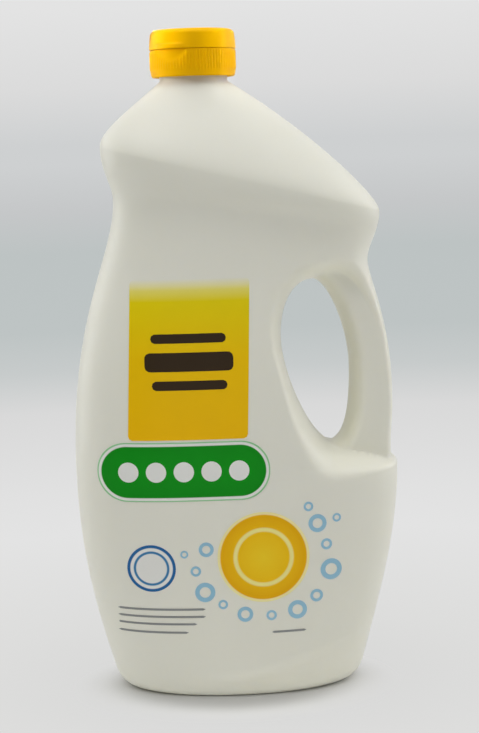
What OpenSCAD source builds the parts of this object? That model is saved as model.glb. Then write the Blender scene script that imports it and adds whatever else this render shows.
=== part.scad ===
// Gel bottle: a blow-moulded body with a hollow handle, a screw cap with a flip lid, and a printed front.
// Millimetres. +Z is up, -Y is the printed front and +X is the handle side.
// The origin is the middle of the footprint, on the surface that the bottle stands on.

/* [Body] */
// Widest part of the body, side to side
belly_w = 151; // [140:1:165]
// Deepest part of the body, front to back
belly_d = 84; // [76:1:92]
// Height of the widest part on the plain side
belly_z = 107; // [98:1:116]
// Length of the standing ring, side to side
base_w = 104; // [96:1:110]
// Depth of the standing ring, front to back
base_d = 64; // [56:1:68]
// Sideways place of the standing ring's middle
base_x = -1.3; // [-4:0.1:2]
// Height of the rounded heel
heel_h = 10; // [7:0.5:13]
// How far the heel spreads from the standing ring
heel_run = 7.4; // [6:0.1:9]
// Wall of the blown body
wall = 1.3; // [1:0.1:1.8]
// Width of the flat standing ring
ring_w = 4; // [3:0.5:6]
// Rise of the panel inside the standing ring
push_up = 2.5; // [1.5:0.5:4]

/* [Waist and shoulder] */
// Reach of the waist on the plain side
waist_left = 53.7; // [51:0.1:56]
// Height of the waist on the plain side
waist_left_z = 228; // [224:1:232]
// Reach of the waist above the handle
waist_right = 63.7; // [61:0.1:66]
// Height of the waist above the handle
waist_right_z = 197; // [195:0.5:201]
// Half depth at the waist
waist_half_d = 31.2; // [29:0.2:34]
// Reach of the ridge on the plain side
ridge_left = 58.9; // [57:0.1:62]
// Height of the ridge on the plain side
ridge_left_z = 252; // [248:1:256]
// Reach of the ridge over the handle
ridge_right = 69.6; // [67:0.1:72]
// Height of the ridge over the handle
ridge_right_z = 219.5; // [216:0.5:224]
// Half depth at the ridge
ridge_half_d = 37; // [35:0.5:40]

/* [Handle] */
// How far the handle's outer edge lies inside the body's widest reach
handle_in = 1.7; // [0.8:0.1:4]
// Height at which the handle reaches furthest
handle_out_z = 135; // [125:1:145]
// Width of the handle at its slimmest
handle_w = 19.3; // [17:0.1:21]
// Half depth of the handle
handle_half_d = 15.5; // [13:0.5:18]
// Width of the finger opening
grip_w = 32.8; // [29:0.1:36]
// Lowest point of the finger opening
grip_low_z = 111.5; // [109:0.5:114]
// Highest point of the finger opening
grip_high_z = 189; // [185:0.5:191]
// Height of the lip of the ledge below the handle
ledge_z = 99.5; // [97:0.5:102]
// Height at which the ledge meets the handle's outer edge
ledge_end_z = 105.5; // [104:0.5:107]

/* [Neck] */
// Sideways place of the neck
neck_x = -14.7; // [-18:0.1:-11]
// Height of the shoulder's top, at the neck's foot
neck_z = 281; // [277:1:285]
// Outside radius of the neck
neck_r = 15.6; // [15:0.1:16.4]
// Radius of the neck's bore
bore_r = 13.8; // [13:0.1:14.2]
// Height of the neck above the shoulder
neck_h = 13; // [12:0.5:15]

/* [Cap] */
// Outside radius of the cap
cap_r = 19.9; // [19.5:0.1:21]
// Height of the screw skirt, from its lower edge to the lid's seam
skirt_h = 12.4; // [11.5:0.1:13]
// Height of the lid
lid_h = 8.9; // [7.5:0.1:11]
// Wall of the cap's outer shell
cap_wall = 1.2; // [1:0.1:1.4]
// Thickness of the deck and of the lid's top
deck_t = 1.5; // [1.2:0.1:2]
// Rounding of the skirt's lower edge
skirt_round = 2.2; // [1.5:0.1:2.6]
// Rounding of the lid's upper edge
lid_round = 1.8; // [1:0.1:2.5]
// Number of grip ribs round the skirt
rib_count = 84; // [60:2:96]
// Height of the grip ribs above the skirt
rib_h = 0.3; // [0.2:0.05:0.4]
// Radius of the pouring hole
orifice_r = 4.6; // [4:0.1:5.5]
// Height of the collar round the pouring hole
collar_h = 3.7; // [3:0.1:4.5]
// Reach of the thumb lip beyond the cap
lip_reach = 1.3; // [0.8:0.1:1.8]
// Height of the thumb lip
lip_h = 2.7; // [2:0.1:3.5]
// Way that the thumb lip points, from the front towards the plain side
cap_turn = 36; // [0:1:90]
// Width of the lid's hinge
hinge_w = 12; // [9:0.5:15]
// Gap between pieces that move past each other
gap = 0.3; // [0.25:0.05:0.4]

/* [Print] */
// Thickness of the printed films
film = 0.2; // [0.15:0.05:0.3]
// Lift of the printed films off the wall
film_lift = 0.3; // [0.25:0.05:0.4]
// Place of the upper field's left edge, as a share of the body's width
panel_left_share = 0.325; // [0.29:0.005:0.34]
// Distance of the upper field's right edge from the recess round the handle
panel_clear = 11.7; // [8:0.1:16]
// Height of the upper field
panel_h = 72; // [60:1:72]
// Rounding of the upper field's corners
panel_round = 4; // [2:0.5:6]
// Sideways shift of the upper field for its rise
panel_slant = 0.045; // [0:0.005:0.06]
// Width of the band, as a share of the body's width
band_share = 0.517; // [0.46:0.001:0.53]
// Place of the band's middle from the body's middle, as a share of the body's width
band_side = 0.172; // [0.16:0.002:0.18]
// Height of the band
band_h = 27; // [20:1:28]
// Height of the band's middle
band_z = 106; // [104:0.5:107]
// Radius of the large round motif
disc_r = 21; // [16:0.5:22]
// Place of the large round motif, as a share of the body's width
disc_side = 0.06; // [0.04:0.005:0.08]
// Radius of the small round motif
spot_r = 11; // [8:0.5:12]
// Place of the small round motif, as a share of the body's width
spot_side = 0.278; // [0.26:0.002:0.29]
// Drop of the small round motif below the large one
spot_drop = 4; // [0:0.5:8]

/* [Hidden] */
round_fn = 96;
eps = 0.01;

// Squareness of the cross-section from the base up to the neck: 2 is an ellipse, more is boxier
squareness = [[0, 2.15], [60, 2.75], [180, 2.85], [236, 2.7], [neck_z, 2]];
// Height above which the cross-sections lean over to follow the ridge
lean_z = grip_high_z + 4;
ridge_mid_z = (ridge_left_z + ridge_right_z) / 2;
waist_mid_z = (waist_left_z + waist_right_z) / 2;
handle_out = belly_w / 2 - handle_in;
grip_right = handle_out - handle_w;
grip_left = grip_right - grip_w;
// Lowest and highest points of the finger opening, sideways, and the heights where it is widest
grip_low_x = grip_right - 10.5;
grip_high_x = grip_right - 17.5;
grip_left_z = 163;
grip_right_z = 148;
// Widths over which the wall falls to the opening: on the handle, on the body's side, over the top
// and down at the ledge
handle_flare = 7;
body_flare = 5;
top_flare = 8;
ledge_run = grip_low_z - ledge_z;
// Height below which the fall on the body's side widens to the ledge, and how narrow the ledge ends
flare_z = grip_right_z + 2;
ledge_narrows = 0.78;
// Squareness of the fall on the handle and in the recess, and the share at which the recess's is cut off
handle_power = 2.3;
recess_power = 2.6;
recess_crisp = 0.6;
// Rounding where the handle meets the ledge and the body
blend = 4;

// Step at the neck's foot, and the neck's reach down into the body
foot_step = 0.5;
neck_root = 2.2;
foot_r = neck_r + foot_step;

cap_z = neck_z + neck_h + gap + deck_t - skirt_h;
seam_z = cap_z + skirt_h;
top_z = seam_z + gap + lid_h;
skirt_core_r = cap_r - rib_h;
thread_room = 1.3;
inner_skirt_t = 0.9;
orifice_wall = 1.2;
plug_t = 0.9;
plug_depth = 4;
lid_plug_dip = 1.5;
hinge_out = cap_r + gap;
bead_r = 0.5;
lip_round_r = 12;

// Points along a smooth curve from a to d, pulled towards b and c
function bend(a, b, c, d, steps) = [
    for (i = [0 : steps])
        let (t = i / steps, s = 1 - t)
        s * s * s * a + 3 * s * s * t * b + 3 * s * t * t * c + t * t * t * d
];

// A curve between two points given as [size, height] that leaves and arrives upright,
// with the shares of the rise that hold it upright at either end
function rise(a, d, hold_a, hold_d, steps = 12) =
    let (h = d[1] - a[1])
    bend(a, a + [0, hold_a * h], d - [0, hold_d * h], d, steps);

// Turns [size, height] points into a table that gives the size at a height
function by_height(points) = [for (p = points) [p[1], p[0]]];

// Two curves as one, with the point that they share taken once
function join(a, b) = concat(a, [for (i = [1 : len(b) - 1]) b[i]]);

// The heel's rounded corner, from the standing ring out to the side wall
function heel(start, run) =
    bend([start, 0], [start + 0.55 * run, 0], [start + 0.85 * run, 0.4 * heel_h], [start + run, heel_h], 8);

// Reach of the plain side at each height
left_reach = let (
    start = base_w / 2 - base_x,
    side = [start + heel_run, heel_h],
    belly = [belly_w / 2, belly_z],
    waist = [waist_left, waist_left_z],
    ridge = [ridge_left, ridge_left_z],
    foot = [foot_r - neck_x, neck_z]
) by_height(concat(
    heel(start, heel_run),
    bend(side, side + [8.5, 29], belly - [0, 40], belly, 12),
    rise(belly, waist, 0.58, 0.21),
    rise(waist, ridge, 0.3, 0.48),
    bend(ridge, ridge + [0, 6.5], foot + [21.8, -17.5], foot, 12)
));

// Reach of the handle side at each height
right_reach = let (
    start = base_w / 2 + base_x,
    side = [start + heel_run, heel_h],
    belly = [belly_w / 2, ledge_z + 2],
    step = [handle_out - 1.3, ledge_end_z],
    grip = [handle_out, handle_out_z],
    waist = [waist_right, waist_right_z],
    ridge = [ridge_right, ridge_right_z],
    foot = [foot_r + neck_x, neck_z]
) by_height(concat(
    heel(start, heel_run),
    bend(side, side + [7.2, 26], belly - [0, 30], belly, 12),
    bend(belly, belly + [0, 4], step - [0, 3], step, 6),
    rise(step, grip, 0.5, 0.5, 6),
    rise(grip, waist, 0.57, 0.14),
    rise(waist, ridge, 0.3, 0.45),
    bend(ridge, ridge + [0, 6.5], foot + [39, -25], foot, 12)
));

// Half depth at each height, at the middle of the width
half_depth = let (
    side = [base_d / 2 + 0.8 * heel_run, heel_h],
    belly = [belly_d / 2, belly_z],
    waist = [waist_half_d, waist_mid_z],
    ridge = [ridge_half_d, ridge_mid_z],
    foot = [foot_r, neck_z]
) by_height(concat(
    heel(base_d / 2, 0.8 * heel_run),
    rise(side, belly, 0.3, 0.5),
    rise(belly, waist, 0.5, 0.25),
    rise(waist, ridge, 0.6, 0.5),
    bend(ridge, ridge + [0, 4], foot + [11, -22], foot, 12)
));

// Edges of the finger opening on the seam plane, at each height
grip_left_edge = let (
    low = [grip_low_x, grip_low_z],
    side = [grip_left, grip_left_z],
    high = [grip_high_x, grip_high_z]
) by_height(join(
    bend(low, low + [-9.5, 5.5], side - [0, 17], side, 8),
    bend(side, side + [0, 14], high - [9.5, 0], high, 8)
));
grip_right_edge = let (
    low = [grip_low_x, grip_low_z],
    side = [grip_right, grip_right_z],
    high = [grip_high_x, grip_high_z]
) by_height(join(
    bend(low, low + [8.5, 1.5], side - [0, 19], side, 8),
    bend(side, side + [0, 16], high + [8.5, 0], high, 8)
));
grip_ring = concat(
    [for (p = grip_left_edge) [p[1], p[0]]],
    [for (i = [len(grip_right_edge) - 1 : -1 : 0]) [grip_right_edge[i][1], grip_right_edge[i][0]]]
);

// The recess round the handle, as points on the seam plane: the ledge, the opening's edge and the top
recess_ledge = let (end = [handle_out, ledge_end_z - 0.5])
    [[grip_low_x, grip_low_z], end, end + [6, 0]];
recess_top = let (high = [grip_high_x, grip_high_z])
    concat(
        bend(high, high + [9, 4.5], [grip_right + 4, grip_high_z + 7.5], [handle_out - 3.3, flare_z], 10),
        [[handle_out + 2.2, handle_out_z - 9]]
    );
recess_edge = concat(
    [recess_ledge[2], recess_ledge[1]],
    [for (p = grip_left_edge) [p[1], p[0]]],
    [for (i = [1 : len(recess_top) - 1]) recess_top[i]]
);

// An edge of the finger opening moved out into the wall, with way 1 to the right and -1 to the left
function inset_edge(edge, way, inset) =
    let (last = len(edge) - 1)
    inset == 0 ? edge : concat(
        [edge[0] - [inset, 0]],
        [
            for (i = [0 : last - 1])
                let (t = edge[i + 1] - edge[max(i - 1, 0)], side = way * inset / norm(t))
                edge[i] + side * [-t[1], t[0]]
        ],
        [edge[last] + [inset, 0]]
    );

function clamp(v, low, high) = max(low, min(high, v));
function mix(a, b, t) = a + (b - a) * t;

// The lesser and the greater of two sizes, with a rounding between them
function soft_min(a, b, k) =
    k <= 0 ? min(a, b) : let (h = clamp(0.5 + 0.5 * (b - a) / k, 0, 1)) mix(b, a, h) - k * h * (1 - h);
function soft_max(a, b, k) = -soft_min(-a, -b, k);

// Distance from a point to a straight stretch, and to the finger opening's edge
function stretch_distance(p, a, b) =
    let (d = b - a, t = clamp((p - a) * d / max(d * d, eps * eps), 0, 1)) norm(p - a - t * d);
function line_distance(p, line) = min([
    for (i = [0 : len(line) - 2]) stretch_distance(p, line[i], line[i + 1])
]);

// Whether a point lies in the recess, and its distance from it
function in_recess(p) =
    p[0] > lookup(p[1], grip_left_edge)
    && p[1] < lookup(p[0], recess_top)
    && (p[1] > grip_low_z || (p[0] > grip_low_x && p[1] > lookup(p[0], recess_ledge)))
    && (p[1] < grip_high_z || p[0] > grip_high_x);
function recess_distance(p) = in_recess(p) ? 0 : line_distance(p, recess_edge);

// How far the recess's wall runs out from its edge near a point
function recess_run(p) =
    let (
        lower = pow(clamp((flare_z - p[1]) / (flare_z - ledge_z), 0, 1), 1.5),
        upper = clamp((p[1] - flare_z) / (grip_high_z - flare_z), 0, 1),
        narrow = ledge_narrows * clamp((flare_z - p[1]) / (flare_z - grip_low_z), 0, 1),
        along = clamp((p[0] - grip_low_x) / (handle_out - grip_low_x), 0, 1)
    )
    mix(mix(body_flare, ledge_run, lower), top_flare, upper) * (1 - narrow * along);

// Rises from 0 to 1 as a squarish quarter ellipse that is cut short at a share of its width
function quarter(t, power, share) = pow(1 - pow(1 - share * clamp(t, 0, 1), power), 1 / power);
function shelf(t, power, share) = quarter(t, power, share) / quarter(1, power, share);

// Half depth of the wall at a point of the front, for a cross-section given as
// [left, right, half depth, squareness], taken in by an inset
function wall_half_depth(p, section, inset) =
    let (
        u = clamp(2 * (p[0] - section[0]) / (section[1] - section[0]) - 1, -1, 1),
        full = section[2] * pow(max(0, 1 - pow(abs(u), section[3])), 1 / section[3]),
        near_grip = p[1] > ledge_z - 20 && p[1] < lean_z + 30 && p[0] > grip_left - 25
    )
    !near_grip ? full :
    let (
        away = max(line_distance(p, grip_ring) - inset, 2 * eps),
        slim = soft_min(full, handle_half_d - inset, blend),
        grip = slim * shelf(away / handle_flare, handle_power, 1),
        beyond = max(recess_distance(p) - inset, 0),
        body = full * shelf(beyond / recess_run(p), recess_power, recess_crisp)
    )
    min(full, soft_max(grip, body, min(blend, grip, body)));

function spread(a, b, count) = [for (i = [1 : count]) mix(a, b, i / count)];
function ends(f) = (1 - cos(180 * f)) / 2;
function crowded(f) = mix(ends(f), ends(ends(f)), 0.3);
function crowded_late(f) = crowded(1 - pow(1 - f, 1.3));

// The cross-section between a height on the plain side and one on the handle side,
// as [left, right, half depth, squareness]
function section_at(z_left, z_right, inset) =
    let (z_mid = (z_left + z_right) / 2)
    [
        -lookup(z_left, left_reach) + inset,
        lookup(z_right, right_reach) - inset,
        lookup(z_mid, half_depth) - inset,
        lookup(z_mid, squareness)
    ];

body_columns = 16;
handle_columns = 7;
slit_share = 0.8;

// A row that runs from one side to the slit between body and handle, as [outer end, slit end, open, heights]
function level_row(z, on_handle, inset) = lean_row(z, z, on_handle, inset);
function lean_row(z_left, z_right, on_handle, inset) =
    let (
        section = section_at(z_left, z_right, inset),
        left = [section[0], z_left],
        right = [section[1], z_right]
    )
    [on_handle ? right : left, mix(left, right, slit_share), false, [z_left, z_right]];
function open_row(z, rim, on_handle, inset) =
    let (section = section_at(z, z, inset))
    [[section[on_handle ? 1 : 0], z], [rim[1], rim[0]], true, [z, z]];

// The rows from the heel up to the neck, for the outer wall or the inset one
lean_shares = [0.1, 0.22, 0.36, 0.5, 0.64, 0.77, 0.88, 0.95, 1];
rise_shares = [0.06, 0.14, 0.25, 0.4, 0.58, 0.76, 0.9, 1];
inner_rise_shares = [0.1, 0.25, 0.45, 0.67, 0.87, 1];
heel_shares = [0.02, 0.1, 0.3, 0.6, 1];
inner_heel_shares = [0.3, 1];
function wall_courses(on_handle, inset) =
    let (
        low = grip_low_z - inset,
        high = grip_high_z + inset,
        rim = on_handle ? inset_edge(grip_right_edge, 1, inset) : inset_edge(grip_left_edge, -1, inset),
        last = len(rim) - 1,
        levels = concat(
            [for (share = inset > 0 ? inner_heel_shares : heel_shares) heel_h * share],
            spread(heel_h, ledge_z - 6, inset > 0 ? 4 : 7),
            spread(ledge_z - 6, low - 1, 8)
        )
    )
    concat(
        [for (z = levels) level_row(z, on_handle, inset)],
        [for (i = [0 : last]) open_row(mix(low, high, i / last), rim[i], on_handle, inset)],
        [for (z = spread(high, lean_z, 3)) level_row(z, on_handle, inset)],
        [for (s = lean_shares) lean_row(
            mix(lean_z, ridge_left_z, s), mix(lean_z, ridge_right_z, s), on_handle, inset
        )],
        [for (s = inset > 0 ? inner_rise_shares : rise_shares) lean_row(
            mix(ridge_left_z, neck_z, s), mix(ridge_right_z, neck_z, s), on_handle, inset
        )]
    );

// One row's points, from the plain side to the handle side
function row_points(course, on_handle, facing, inset) =
    let (
        columns = on_handle ? handle_columns : body_columns,
        z_left = course[3][0],
        z_right = course[3][1]
    )
    [
        for (i = [0 : columns])
            let (
                f = on_handle ? crowded(i / columns) : crowded_late(i / columns),
                p = on_handle ? mix(course[1], course[0], f) : mix(course[0], course[1], f),
                on_outer = i == (on_handle ? columns : 0),
                on_rim = course[2] && i == (on_handle ? 0 : columns),
                level = z_left == z_right,
                section = level ? section_at(p[1], p[1], inset) : section_at(z_left, z_right, inset),
                half = on_outer || on_rim ? 0 : wall_half_depth(p, section, inset)
            )
            [p[0], facing * half, inset > 0 ? max(p[1], inset) : p[1]]
    ];

// A base row: the standing ring's outline taken in by a distance, at a height
function base_row(taken_in, z, flat, on_handle, facing) =
    let (
        left = base_x - base_w / 2 + taken_in,
        right = base_x + base_w / 2 - taken_in,
        half = base_d / 2 - taken_in,
        section = [left, right, half, squareness[0][1]],
        columns = on_handle ? handle_columns : body_columns
    )
    [
        for (i = [0 : columns])
            let (
                f = on_handle ? crowded(i / columns) : crowded_late(i / columns),
                u = on_handle ? slit_share + (1 - slit_share) * f : slit_share * f,
                x = mix(left, right, u),
                outer_edge = on_handle ? i == columns : i == 0
            )
            [x, flat || outer_edge ? 0 : facing * wall_half_depth([x, 0], section, 0), z]
    ];

// Depth below the standing surface that the base is trimmed by, to leave a true flat ring
trim = 0.4;

// One quarter of a wall, as rows of points from the base's middle up to the neck
function wall_rows(on_handle, facing, inset) = concat(
    [
        base_row(ring_w + 14 + inset, push_up + inset, true, on_handle, facing),
        base_row(ring_w + 4 + inset, push_up + inset, false, on_handle, facing),
        base_row(ring_w + inset, inset > 0 ? inset : -trim, false, on_handle, facing)
    ],
    inset > 0 ? [] : [base_row(0, -trim, false, on_handle, facing)],
    [for (course = wall_courses(on_handle, inset)) row_points(course, on_handle, facing, inset)]
);

// Length of a diagonal, with one that would lie on the seam plane counted as too long
function diagonal(p, q) = p[1] == 0 && q[1] == 0 ? belly_w : norm(p - q);

// Triangles between neighbouring rows, numbered from a first point and cut along the shorter diagonal
function row_faces(rows, first, flip) =
    let (n = len(rows[0]))
    [
        for (i = [0 : len(rows) - 2], j = [0 : n - 2])
            let (
                a = first + i * n + j,
                b = a + 1,
                c = b + n,
                d = a + n,
                rising = diagonal(rows[i][j], rows[i + 1][j + 1]) < diagonal(rows[i][j + 1], rows[i + 1][j]),
                pair = rising ? [[a, c, b], [a, d, c]] : [[a, d, b], [b, d, c]]
            )
            each flip ? [for (t = pair) [t[2], t[1], t[0]]] : pair
    ];

// A closed skin from patches, each given as [rows, flip]
function patch_size(patch) = len(patch[0]) * len(patch[0][0]);
function first_point(patches, k) = k == 0 ? 0 : first_point(patches, k - 1) + patch_size(patches[k - 1]);
module skin(patches) {
    polyhedron(
        points = [for (patch = patches, row = patch[0]) each row],
        faces = [
            for (k = [0 : len(patches) - 1])
                each row_faces(patches[k][0], first_point(patches, k), patches[k][1])
        ],
        convexity = 10
    );
}

// The blown body: outer wall, inner wall and the land that joins them at the neck
module blown_body() {
    quarters = [for (on_handle = [false, true], facing = [-1, 1]) [on_handle, facing]];
    outer = [for (q = quarters) wall_rows(q[0], q[1], 0)];
    inner = [for (q = quarters) wall_rows(q[0], q[1], wall)];
    skin(concat(
        [for (k = [0 : 3]) [outer[k], quarters[k][1] > 0]],
        [for (k = [0 : 3]) [inner[k], quarters[k][1] < 0]],
        [for (k = [0 : 3]) [[outer[k][len(outer[k]) - 1], inner[k][len(inner[k]) - 1]], quarters[k][1] > 0]]
    ));
}

// The bottle: blown body with a true flat standing ring and a round neck
module bottle() {
    color([0.93, 0.92, 0.89])
    difference() {
        union() {
            blown_body();
            translate([neck_x, 0, 0])
            rotate_extrude($fn = round_fn)
            polygon([
                [bore_r, neck_z - neck_root],
                [neck_r, neck_z - neck_root],
                [neck_r, neck_z + neck_h - 0.5],
                [neck_r - 0.5, neck_z + neck_h],
                [bore_r, neck_z + neck_h]
            ]);
        }
        translate([-belly_w, -belly_d, -10])
        cube([2 * belly_w, 2 * belly_d, 10]);
    }
}

// Puts a piece of the cap on the neck's axis, with the thumb lip turned to its place
module on_neck() {
    translate([neck_x, 0, 0])
    rotate([0, 0, -cap_turn])
    children();
}

// The screw skirt with its deck, plug seal, inner skirt, pouring hole and hinge bead
module cap_skirt() {
    deck_z = seam_z - deck_t;
    plug_r = bore_r - gap;
    inner_r = neck_r + thread_room;
    shell_r = skirt_core_r - cap_wall;
    rounding = [
        for (a = [0 : 15 : 90])
            [shell_r + 0.1 + (cap_wall - 0.1) * sin(a), cap_z + skirt_round * (1 - cos(a))]
    ];
    color([0.96, 0.7, 0.05])
    on_neck()
    union() {
        rotate_extrude($fn = round_fn)
        polygon(concat(
            [
                [orifice_r, deck_z],
                [plug_r - plug_t, deck_z],
                [plug_r - plug_t, deck_z - plug_depth],
                [plug_r, deck_z - plug_depth],
                [plug_r, deck_z],
                [inner_r, deck_z],
                [inner_r, cap_z + 1.5],
                [inner_r + inner_skirt_t, cap_z + 1.5],
                [inner_r + inner_skirt_t, deck_z],
                [shell_r, deck_z],
                [shell_r, cap_z]
            ],
            rounding,
            [
                [skirt_core_r, seam_z],
                [orifice_r + orifice_wall, seam_z],
                [orifice_r + orifice_wall, seam_z + collar_h],
                [orifice_r, seam_z + collar_h]
            ]
        ));
        difference() {
            translate([0, 0, cap_z + skirt_round + 0.4])
            linear_extrude(height = skirt_h - skirt_round - 1)
            polygon([
                for (i = [0 : rib_count - 1], k = [-0.36, -0.14, 0.14, 0.36])
                    let (a = 360 * (i + k) / rib_count, r = abs(k) < 0.2 ? cap_r : skirt_core_r + 0.06)
                    [r * cos(a), r * sin(a)]
            ]);
            translate([0, 0, cap_z])
            cylinder(r = skirt_core_r - cap_wall / 2, h = skirt_h, $fn = round_fn);
        }
        translate([-hinge_w / 2, skirt_core_r - cap_wall / 2 - 0.7, seam_z - 3])
        cube([hinge_w, hinge_out - skirt_core_r + cap_wall / 2 + 0.7, 3 - eps]);
        hinge_bar(bead_r, hinge_w);
    }
}

// A round bar on the hinge's axis
module hinge_bar(r, length) {
    translate([-length / 2, hinge_out, seam_z + gap / 2])
    rotate([0, 90, 0])
    cylinder(r = r, h = length, $fn = round_fn);
}

// The flip lid with its plug, thumb lip and hinge block
module cap_lid() {
    low_z = seam_z + gap;
    inner_z = top_z - deck_t;
    inner_r = cap_r - cap_wall;
    plug_r = orifice_r - gap;
    plug_z = seam_z + collar_h - lid_plug_dip;
    edge_r = cap_r - 0.3 - lid_round;
    rounding = [
        for (a = [0 : 15 : 90]) [edge_r + lid_round * cos(a), top_z - lid_round + lid_round * sin(a)]
    ];
    color([0.98, 0.74, 0.08])
    on_neck()
    difference() {
        union() {
            rotate_extrude($fn = round_fn)
            polygon(concat(
                [
                    [0, inner_z],
                    [plug_r - plug_t, inner_z],
                    [plug_r - plug_t, plug_z],
                    [plug_r, plug_z],
                    [plug_r, inner_z],
                    [inner_r, inner_z],
                    [inner_r, low_z],
                    [cap_r, low_z]
                ],
                rounding,
                [[0, top_z]]
            ));
            difference() {
                translate([0, lip_round_r - cap_r - lip_reach, low_z])
                union() {
                    cylinder(r = lip_round_r, h = lip_h - 0.9, $fn = round_fn);
                    translate([0, 0, lip_h - 0.9])
                    cylinder(r1 = lip_round_r, r2 = lip_round_r - 0.9, h = 0.9, $fn = round_fn);
                }
                translate([0, 0, low_z - 1])
                cylinder(r = inner_r + cap_wall / 2, h = lip_h + 2, $fn = round_fn);
                translate([-cap_r, 0, low_z - 1])
                cube([2 * cap_r, cap_r, lip_h + 2]);
            }
            difference() {
                translate([-hinge_w / 2, 0, low_z])
                cube([hinge_w, hinge_out, 3]);
                translate([0, 0, low_z - 1])
                cylinder(r = inner_r + cap_wall / 2 - 0.2, h = 5, $fn = round_fn);
            }
        }
        hinge_bar(bead_r + gap, hinge_w + 2 * gap);
    }
}

// A point in front of the wall by a distance, below the height where the sections lean
function front_point(x, z, off) =
    [x, -wall_half_depth([x, z], section_at(z, z, 0), 0) - off, z];

// A thin film that follows the front wall, from rows given as [height, left, right]
module front_film(rows, columns) {
    grid = function (off) [
        for (row = rows) [for (j = [0 : columns]) front_point(mix(row[1], row[2], j / columns), row[0], off)]
    ];
    face = grid(film_lift + film);
    back = grid(film_lift);
    last = len(rows) - 1;
    skin([
        [face, false],
        [back, true],
        [[back[0], face[0]], false],
        [[face[last], back[last]], false],
        [[[for (r = face) r[0]], [for (r = back) r[0]]], false],
        [[[for (r = back) r[columns]], [for (r = face) r[columns]]], false]
    ]);
}

// Rows of a rounded bar and of a round spot, the bar shifted sideways by a share of its rise
function bar_rows(x, z, w, h, r, count, slant = 0) = [
    for (i = [0 : count])
        let (
            s = h / 2 * sin(mix(-90, 90, i / count)),
            cut = max(0, abs(s) - h / 2 + r),
            half = w / 2 - r + sqrt(max(0, r * r - cut * cut)),
            middle = x + slant * s
        )
        [z + s, middle - half, middle + half]
];
spot_end = 82;
function spot_rows(x, z, r, count) = [
    for (i = [0 : count])
        let (a = mix(-spot_end, spot_end, i / count))
        [z + r * sin(a), x - r * cos(a), x + r * cos(a)]
];

// The upper field, that fades in below the waist
print_gap = 1;
panel_z = band_z + band_h / 2 + print_gap + panel_h / 2;
panel_left = -panel_left_share * belly_w;
panel_right = grip_left - body_flare - panel_clear;
module print_panel() {
    middle = (panel_left + panel_right) / 2;
    width = panel_right - panel_left;
    color([0.98, 0.82, 0.15])
    front_film(bar_rows(middle, panel_z, width, panel_h, panel_round, 10, panel_slant), 7);
}

// The band below it
module print_band() {
    color([0.12, 0.55, 0.25])
    front_film(bar_rows(-band_side * belly_w, band_z, band_share * belly_w, band_h, band_h / 2 - film, 7), 15);
}

// The large round motif
disc_z = band_z - band_h / 2 - disc_r - 6 * print_gap;
module print_disc() {
    color([0.97, 0.8, 0.2])
    front_film(spot_rows(disc_side * belly_w, disc_z, disc_r, 10), 6);
}

// The small round motif
module print_spot() {
    color([0.2, 0.5, 0.75])
    front_film(spot_rows(-spot_side * belly_w, disc_z - spot_drop, spot_r, 8), 6);
}

bottle();
cap_skirt();
cap_lid();
print_panel();
print_band();
print_disc();
print_spot();
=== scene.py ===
"""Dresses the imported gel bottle: moulded shell, ribbed flip-top cap, print, and a pale studio.

Sizes are millimetres in the part's own frame, and become metres where a mesh is made.
"""

import logging
import math
from dataclasses import dataclass, field
from enum import Enum
from typing import Callable, Sequence

import bmesh
import bpy
import numpy as np
from mathutils import Matrix, Vector


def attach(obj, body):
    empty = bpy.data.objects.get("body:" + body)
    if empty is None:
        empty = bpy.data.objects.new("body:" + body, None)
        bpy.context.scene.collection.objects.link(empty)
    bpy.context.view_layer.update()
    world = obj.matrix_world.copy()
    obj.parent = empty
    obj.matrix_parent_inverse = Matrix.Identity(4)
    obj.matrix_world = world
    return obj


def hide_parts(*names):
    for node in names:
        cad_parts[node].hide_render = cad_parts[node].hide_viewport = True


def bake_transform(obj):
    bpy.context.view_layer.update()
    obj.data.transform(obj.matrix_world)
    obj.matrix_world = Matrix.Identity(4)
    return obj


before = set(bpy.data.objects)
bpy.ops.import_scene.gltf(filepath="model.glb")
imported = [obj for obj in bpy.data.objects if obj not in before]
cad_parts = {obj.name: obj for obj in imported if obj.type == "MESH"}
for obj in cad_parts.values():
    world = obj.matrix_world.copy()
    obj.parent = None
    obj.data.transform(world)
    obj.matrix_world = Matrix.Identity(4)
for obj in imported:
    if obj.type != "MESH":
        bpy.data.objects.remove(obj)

LOG = logging.getLogger("gel_bottle")
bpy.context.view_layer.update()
MM = 0.001
WELD = 1e-6
PHOTO_TALL = 733
SENSOR = 36.0

FULL_TURN = 2 * math.pi
HINGE_SIDE = math.pi / 2
THUMB_SIDE = -math.pi / 2
WIDE_OFF = 1.2
WIDE_LIGHT = 180.0
CORNER_SHARE = 0.45
CORNER_PULL = 0.72
PEEL_SPAN = (0.3, 0.7)
PEEL_DEPTH = 0.0002
EDGE_STEPS = 24
EDGE_TOUCH = 0.05
TINY = 1e-9

Colour = tuple[float, float, float, float]
Stops = tuple[tuple[float, Colour], ...]
Pair = tuple[float, float]
Triple = tuple[float, float, float]
Bar = tuple[float, float, float, float, float]
Grid = np.ndarray
Material = bpy.types.Material
Piece = bpy.types.Object
Socket = bpy.types.NodeSocket


class Body(str, Enum):
    """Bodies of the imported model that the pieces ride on."""

    BOTTLE = "bottle_body"
    CAP = "cap_base_body"
    LID = "lid_body"


class Slot(str, Enum):
    """Material slots of the record."""

    WHITE = "white_polyethylene"
    YELLOW = "yellow_polypropylene"
    YELLOW_INK = "yellow_ink"
    GREEN_INK = "green_ink"
    AMBER_INK = "amber_ink"
    BLUE_INK = "blue_ink"


class Fill(Enum):
    """Ways in which an ink's colours lie on its field."""

    PLAIN = "plain"
    FADE = "fade"
    RINGS = "rings"
    EDGED = "edged"


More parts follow.
